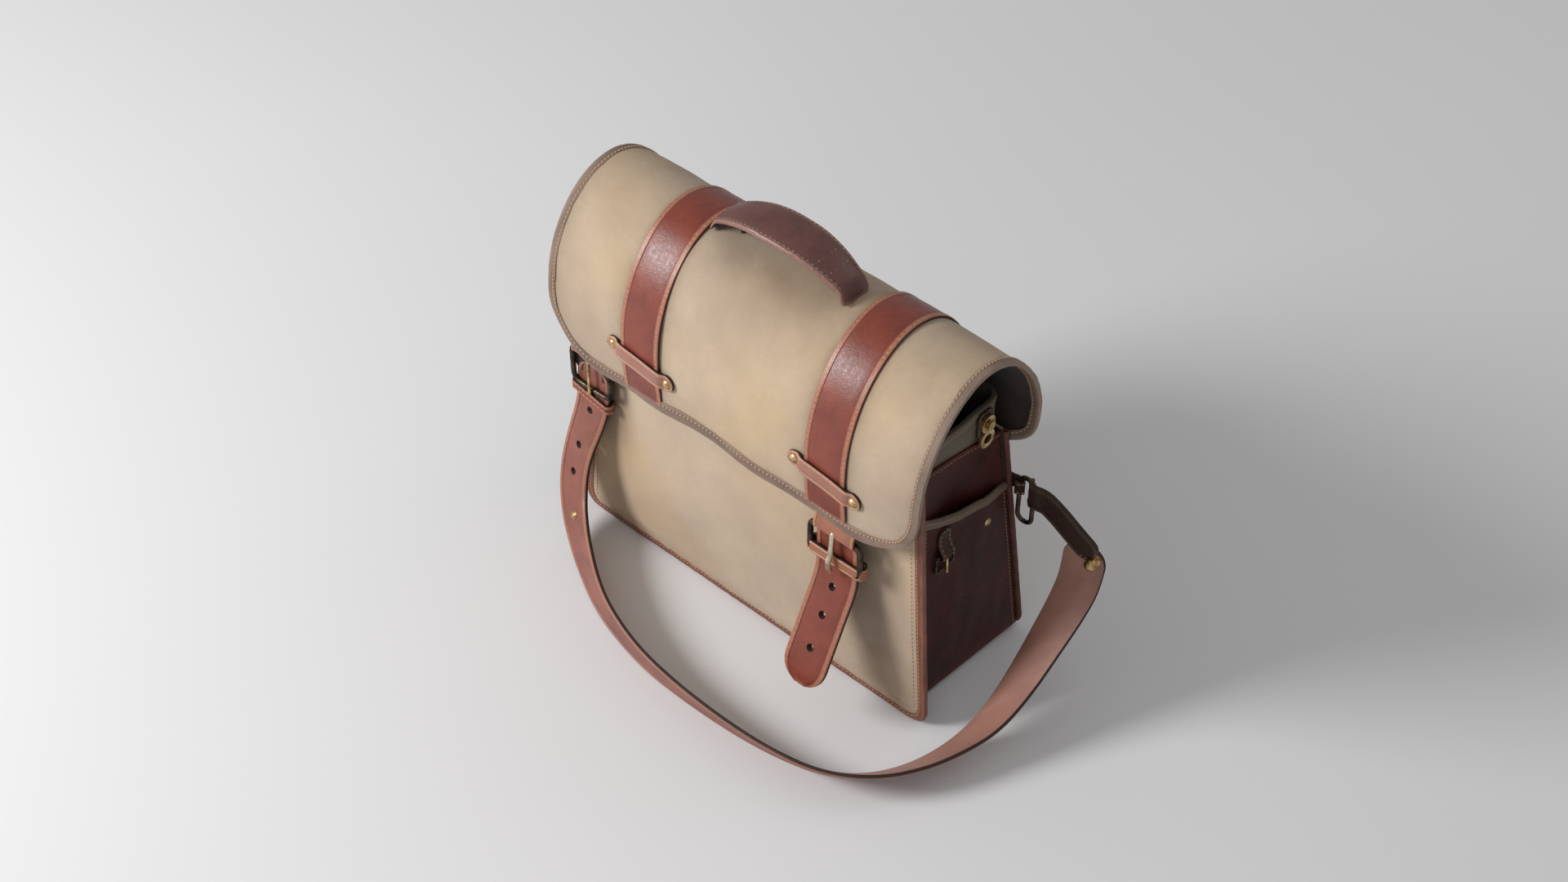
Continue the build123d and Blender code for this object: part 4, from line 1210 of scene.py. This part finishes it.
def loop_build(centre, corners, bend, width, thick, drop, lean=0.0):
    """Leather keeper loop: a strap round these corners, given across and in depth from the centre."""
    centre = np.array(centre)
    ring = corner_path([(a, b, 0) for a, b in corners], bend, 5)
    ring[:, 2] += ring[:, 0] * lean
    ring = ring + centre
    up = up_side(ring, UP, ring[10] - centre, 10)
    return strap_build(ring - up * drop, UP, up, width, thick, step=2.2, stitch=2.0, groove=2.0)[0]


def closure_chape(x, y, z):
    """Leather that comes from under the flap and turns round the buckle's bar."""
    eye_r = 3.4
    line = [(x, y + 2.9, z + 41), (x, y + 2.4, z + 24), (x, y + 0.2, z + 12), (x, y - 2.0, z + 5)]
    line += [(x, y + eye_r * 0.3 - eye_r * cos(a), z - eye_r * sin(a))
             for a in np.linspace(-pi / 2, pi / 2 + 0.9, 12)[3:]]
    bent_strap("closure_chape", ROLLER, line, 40, RIGHT, -DEEP, FLAP_STRAP_W, FLAP_STRAP_T, 1.2, "flap",
               step=3.0, start=12.0, stitch=2.8)


def closure_tongue(x, y, z):
    """The strap's loose end, with its row of holes."""
    lo, hi = low("closure_tongue"), high("closure_tongue")
    line = divided([(x, y + 6.0, z - 8), (x, y + 6.0, z - 30), (x, y + 5.6, z - 48), (x, y + 3.0, z - 58),
                    (x, lo.y + 7.0, lo.z + 12), (x, lo.y + 4.4, lo.z + 1.0)], 60)
    line = smoothed(line, 10)
    up = up_side(line, RIGHT, -DEEP, 3)
    build, p, n = strap_build(line, RIGHT, up, hi.x - lo.x, TONGUE_T, step=4.5, end=20.5, stitch=2.9,
                              groove=4.4)
    tongue = strap_piece("closure_tongue", build, STRAP, "front_closure", angle=45)
    rows = [int(np.argmin(np.abs(p[:, 2] - (z - drop)))) for drop in TONGUE_HOLES]
    punched(tongue, [(p[i], n[i]) for i in rows], TONGUE_T)


def closure_metal(x, y, z):
    span = (high("closure_buckle").x - low("closure_buckle").x) / 2 - 2.6
    frame_build = cast_frame((x, y, z), span, 34.0, 2.6)
    piece("closure_buckle_cast", frame_build, [IRON], "front_closure", ["closure_buckle"])
    prong = rope([(x, y - 2.2, z + 2.4), (x, y - 3.9, z + 0.5), (x, y - 4.4, z - 8), (x, y - 5.6, z - 19),
                  (x, y - 8.6, z - 26), (x, y - 8.2, z - 33), (x, y - 6.0, z - 38)], 2.3, step=1.5, rough=0.1)
    piece("closure_prong_cast", prong, [SILVER], "front_prong", ["closure_prong"])


def closure_loop():
    wide = (high("closure_loop").x - low("closure_loop").x) / 2 + 3.7
    corners = [(0, -4.6), (-wide, -4.2), (-wide, 3.3), (wide, 3.3), (wide, -4.2), (0, -4.6)]
    build = loop_build(middle("closure_loop"), corners, 3.0, 12.0, 3.0, 0.6)
    strap_piece("closure_loop", build, ROLLER, "front_closure")


TONGUE_T, TONGUE_HOLES = 3.8, (60, 87, 114)
for make in (closure_chape, closure_tongue, closure_metal):
    make(*CLOSURE)
closure_loop()


# ---- shoulder strap's hardware ----
def strap_chape(x, y, bar, ring):
    """Leather between the ring and the buckle, turned round both, with a wider backing."""
    eye_r = 3.3
    turns = [(a, bar) for a in np.linspace(-0.9, pi / 2, 8)]
    turns += [(a, ring) for a in np.linspace(pi / 2, pi + 1.0, 9)]
    line = divided([(x, y - eye_r * sin(a), z - eye_r * cos(a)) for a, z in turns], 46)
    up = up_side(line, RIGHT, -DEEP, 22)
    build, *_ = strap_build(line - up * 1.0, RIGHT, up, 36.0, 2.8, step=2.6, stitch=2.8)
    back = [(x, y + 2.6, bar - 28), (x, y + 3.0, bar), (x, y + 3.2, ring)]
    strap_build(back, RIGHT, DEEP, 46.0, 2.0, step=4.0, start=8.0, stitch=0, build=build)
    return strap_piece("strap_chape", build, ROLLER)


def ring_tab_left():
    x, lo, hi = middle("ring_tab_left").x, low("ring_tab_left"), high("ring_tab_left")
    line = [(x, hi.y - 0.2, hi.z - 4), (x, hi.y - 3, hi.z - 1.2), (x, lo.y + 3, hi.z - 0.8),
            (x, lo.y + 0.6, middle("ring_tab_left").z), (x, lo.y + 3, lo.z + 0.8), (x, hi.y - 3, lo.z + 1.0),
            (x, hi.y - 0.2, lo.z + 0.8)]
    bent_strap("ring_tab_left", TRIM, line, 26, RIGHT, -DEEP, 12.0, 2.0, 1.0, at=13, step=2.0, stitch=2.2,
               groove=2.2)


def left_end():
    """Chape, keeper loop and buckle below the left ring, and the ring's tab."""
    lo, hi = low("strap_buckle"), high("strap_buckle")
    x, y = middle("strap_buckle").x, middle("strap_buckle").y
    bar, ring = hi.z - 2.0, low("ring_left").z + 2.0
    chape = strap_chape(x, y, bar, ring)
    cast = cast_frame((x, y, bar), (hi.x - lo.x) / 2 - 2.4, hi.z - lo.z - 4.0, 2.4)
    buckle = piece("strap_buckle_cast", cast, [IRON], "bag", ["strap_buckle"])
    a, b = 21.5, 4.4
    corners = [(0, -b), (-a, -b), (-a, b), (a, b), (a, -b), (0, -b)]
    build = loop_build(middle("strap_keeper"), corners, 2.4, 9.0, 1.9, 0.8, lean=-0.2)
    keeper = strap_piece("strap_keeper", build, STRAP)
    ring_tab_left()
    return [chape, keeper, buckle]


def end_tab(x, y, z):
    """The thick tab that runs from the right ring down to the strap's wide end."""
    route = np.array([(x - 4.4, y + 3.0, z), (x - 1, y - 3.6, z), (x + 3, y - 3.4, z),
                      (x + 8, y - 1.2, z - 0.4), (x + 14, y - 0.6, z - 1), (x + 27, y - 0.7, z - 7),
                      (x + 41, y - 0.8, z - 15.5), (x + 54, y - 0.6, z - 23.5), (x + 63, y + 0.6, z - 29)])
    leans = np.array([0, 0, 0, .05, .1, .3, .45, .5, .5])
    side = leans[:, None] * RIGHT + UP
    line, wide = resampled(route, np.linspace(0, lengths(route)[-1], 60), side)
    line = smoothed(line, 6)
    ahead = heading(line)
    wide = squared(wide, ahead)
    up = unit(np.cross(ahead, wide))
    if up[30, 1] > 0:
        up, wide = -up, -wide
    build, *_ = strap_build(line - up * 1.8, wide, up, 25.0, 4.0, step=3.0, end=11.0)
    return strap_piece("strap_end_tab", build, TRIM)


def right_end():
    """The strap's end tab, and the ring's tab on the back panel."""
    x, y, z = high("ring_right").x - 2.0, middle("ring_right").y, RIGHT_RING_Z
    tab = end_tab(x, y, z)
    lo, hi = low("ring_tab_right"), high("ring_tab_right")
    line = [(lo.x + 0.5, hi.y - 3.2, (lo.z + hi.z) / 2), (x - 22, hi.y - 3.0, z), (x - 17, hi.y - 1.8, z),
            (x - 12.5, hi.y - 2.6, z), (x - 10.6, y + 0.5, z), (x - 12.5, y - 2.8, z), (x - 16, y - 2.4, z)]
    bent_strap("ring_tab_right", TRIM, line, 30, UP, DEEP, 14.0, 2.2, at=2, step=2.4, start=6.0, stitch=2.4,
               groove=2.2)
    return tab


def strap_caps():
    """Rivet near the floor and the ball stud at the wide end."""
    caps = Build()
    above = SHOULDER_T / 2 + 0.2
    off = np.abs(ROUTE[:, 0] - low("strap_rivets").x - 4.0)
    near = int(np.argmin(off + (ROUTE[:, 2] > 120) * 900 + (ROUTE[:, 2] < 30) * 400))
    caps.dome(ROUTE[near] + ROUTE_UP[near] * above, ROUTE_UP[near], 4.2, 2.1)
    spot, wide, up = resampled(ROUTE, np.array([lengths(ROUTE)[-1] - 9.0]), ROUTE_ACROSS, ROUTE_UP)
    profile = [(5.6, 0.0), (5.6, 0.9), (3.0, 1.3), (2.8, 2.4)]
    profile += [(5.6 * sin(a), 7.0 - 5.2 * cos(a)) for a in np.linspace(0.55, pi - 0.1, 12)]
    caps.turned(spot[0] + wide[0] * 9.0 - up[0] * above, -up[0], profile, 22, (0.3, 0.5, 0.8))
    return piece("strap_studs", caps, [BRASS], "bag", ["strap_rivets"], angle=30)


# ---- side pockets' hardware and swing clips ----
def pocket_tab(side, word):
    """Small strap that holds the pocket's buckle."""
    lo, hi = low(f"side_tab_{word}"), high(f"side_tab_{word}")
    y, z = (lo.y + hi.y) / 2, high(f"side_buckle_{word}").z - 1.3
    x = middle(f"side_buckle_{word}").x * side
    face = pocket_x(z + 12)
    line = np.array([(face + 0.4, y, hi.z), (face + 0.5, y, z + 12), (x + 0.4, y, z + 4.5),
                     (x + 2.6, y, z + 2.0), (x + 3.0, y, z), (x + 2.0, y, z - 2.6), (x - 1.4, y, z - 2.4)])
    bent_strap(f"side_tab_{word}", TRIM, line * mirror(side), 26, DEEP, side * RIGHT, 15.0, 1.9,
               slot="dark_leather", sewing=DULL_THREAD, step=2.2, start=6.0, stitch=2.3, groove=2.1)


def clip_tab(side, word):
    """Tab on the collar that the swing clip hangs from."""
    lo, hi = low(f"clip_tab_{word}"), high(f"clip_tab_{word}")
    y, face = (lo.y + hi.y) / 2, min(abs(lo.x), abs(hi.x)) + 0.2
    line = np.array([(face, y, hi.z), (face + 0.3, y, 282), (face + 0.1, y, 270), (face + 0.4, y, lo.z)])
    build, *_ = strap_build(line * mirror(side), DEEP, side * RIGHT, 18.0, 2.1, step=2.5, start=5.0,
                            end=8.0, stitch=2.5)
    strap_piece(f"clip_tab_{word}", build, TRIM, sewing=DULL_THREAD)


def side_hardware():
    caps = Build()
    rivet = middle("gusset_rivets")
    for side, word in SIDES:
        pocket_tab(side, word)
        clip_tab(side, word)
        caps.dome((side * (pocket_x(rivet.z) + 0.4), rivet.y, rivet.z), side * RIGHT, 4.0, 2.0)
    piece("gusset_rivet_caps", caps, [BRASS], "bag", ["gusset_rivets"])


# ---- carried-over CAD metal ----
def dress(nodes, material):
    for name in nodes:
        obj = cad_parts[name]
        obj.data.materials.clear()
        obj.data.materials.append(material)


def metalwork():
    dress(["ring_left", "ring_right", "handle_staples", "side_buckle_right", "side_buckle_left"], IRON)
    dress(["strap_prong", "side_prong_right", "side_prong_left", "brass_clip_right", "brass_clip_left",
           "clip_stud_right", "clip_stud_left"], BRASS)
    dress(["snap_sockets", "snap_studs"], STEEL)
    dress(["base_board"], BOARD)


left_pieces = left_end()
tab_piece = right_end()
caps_piece = strap_caps()
side_hardware()
metalwork()

[tuple(p / MM) for p in ROUTE]


# ---- floor and light ----
def stage():
    s = Shader("floor")
    where = s.object_map()
    soft = s.noise(where, 1.4, 2)
    colour = s.mix(soft, linear((216, 216, 217)), linear((222, 221, 222)))
    paper = s.done(colour, 0.9, s.bump(s.noise(where, 600, 3), 0.05, 0.0004))
    mesh = bpy.data.meshes.new("floor")
    size, z = 7.0, -0.0004
    corners = [(-size, -size, z), (size, -size, z), (size, size, z), (-size, size, z)]
    mesh.from_pydata(corners, [], [(0, 1, 2, 3)])
    mesh.materials.append(paper)
    floor = bpy.data.objects.new("floor", mesh)
    bpy.context.scene.collection.objects.link(floor)
    floor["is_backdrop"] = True


def area_light(name, place, target, size, power, colour=(1, 1, 1)):
    data = bpy.data.lights.new(name, "AREA")
    data.shape, data.size, data.energy, data.color = "DISK", size, power, colour
    lamp = bpy.data.objects.new(name, data)
    lamp.location = place
    lamp.rotation_euler = (Vector(target) - Vector(place)).to_track_quat("-Z", "Y").to_euler()
    bpy.context.scene.collection.objects.link(lamp)


def lights():
    world = bpy.data.worlds.new("studio")
    world.use_nodes = True
    world.node_tree.nodes["Background"].inputs[0].default_value = (0.98, 0.98, 0.98, 1)
    world.node_tree.nodes["Background"].inputs[1].default_value = 0.40
    bpy.context.scene.world = world
    area_light("key", (-1.5, -1.9, 1.55), (0, 0, 0.15), 1.0, 70)
    area_light("fill", (1.2, -2.2, 1.3), (0, 0, 0.15), 1.8, 4)
    area_light("rim", (0.9, 2.2, 2.1), (0, 0, 0.2), 1.8, 7)


stage()
lights()
bpy.context.scene.view_settings.view_transform = "Standard"


def corners(box):
    return [[float(v) for v in corner] for corner in box]


{"cad": corners(CAD_BOX), "visual": corners(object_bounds())}
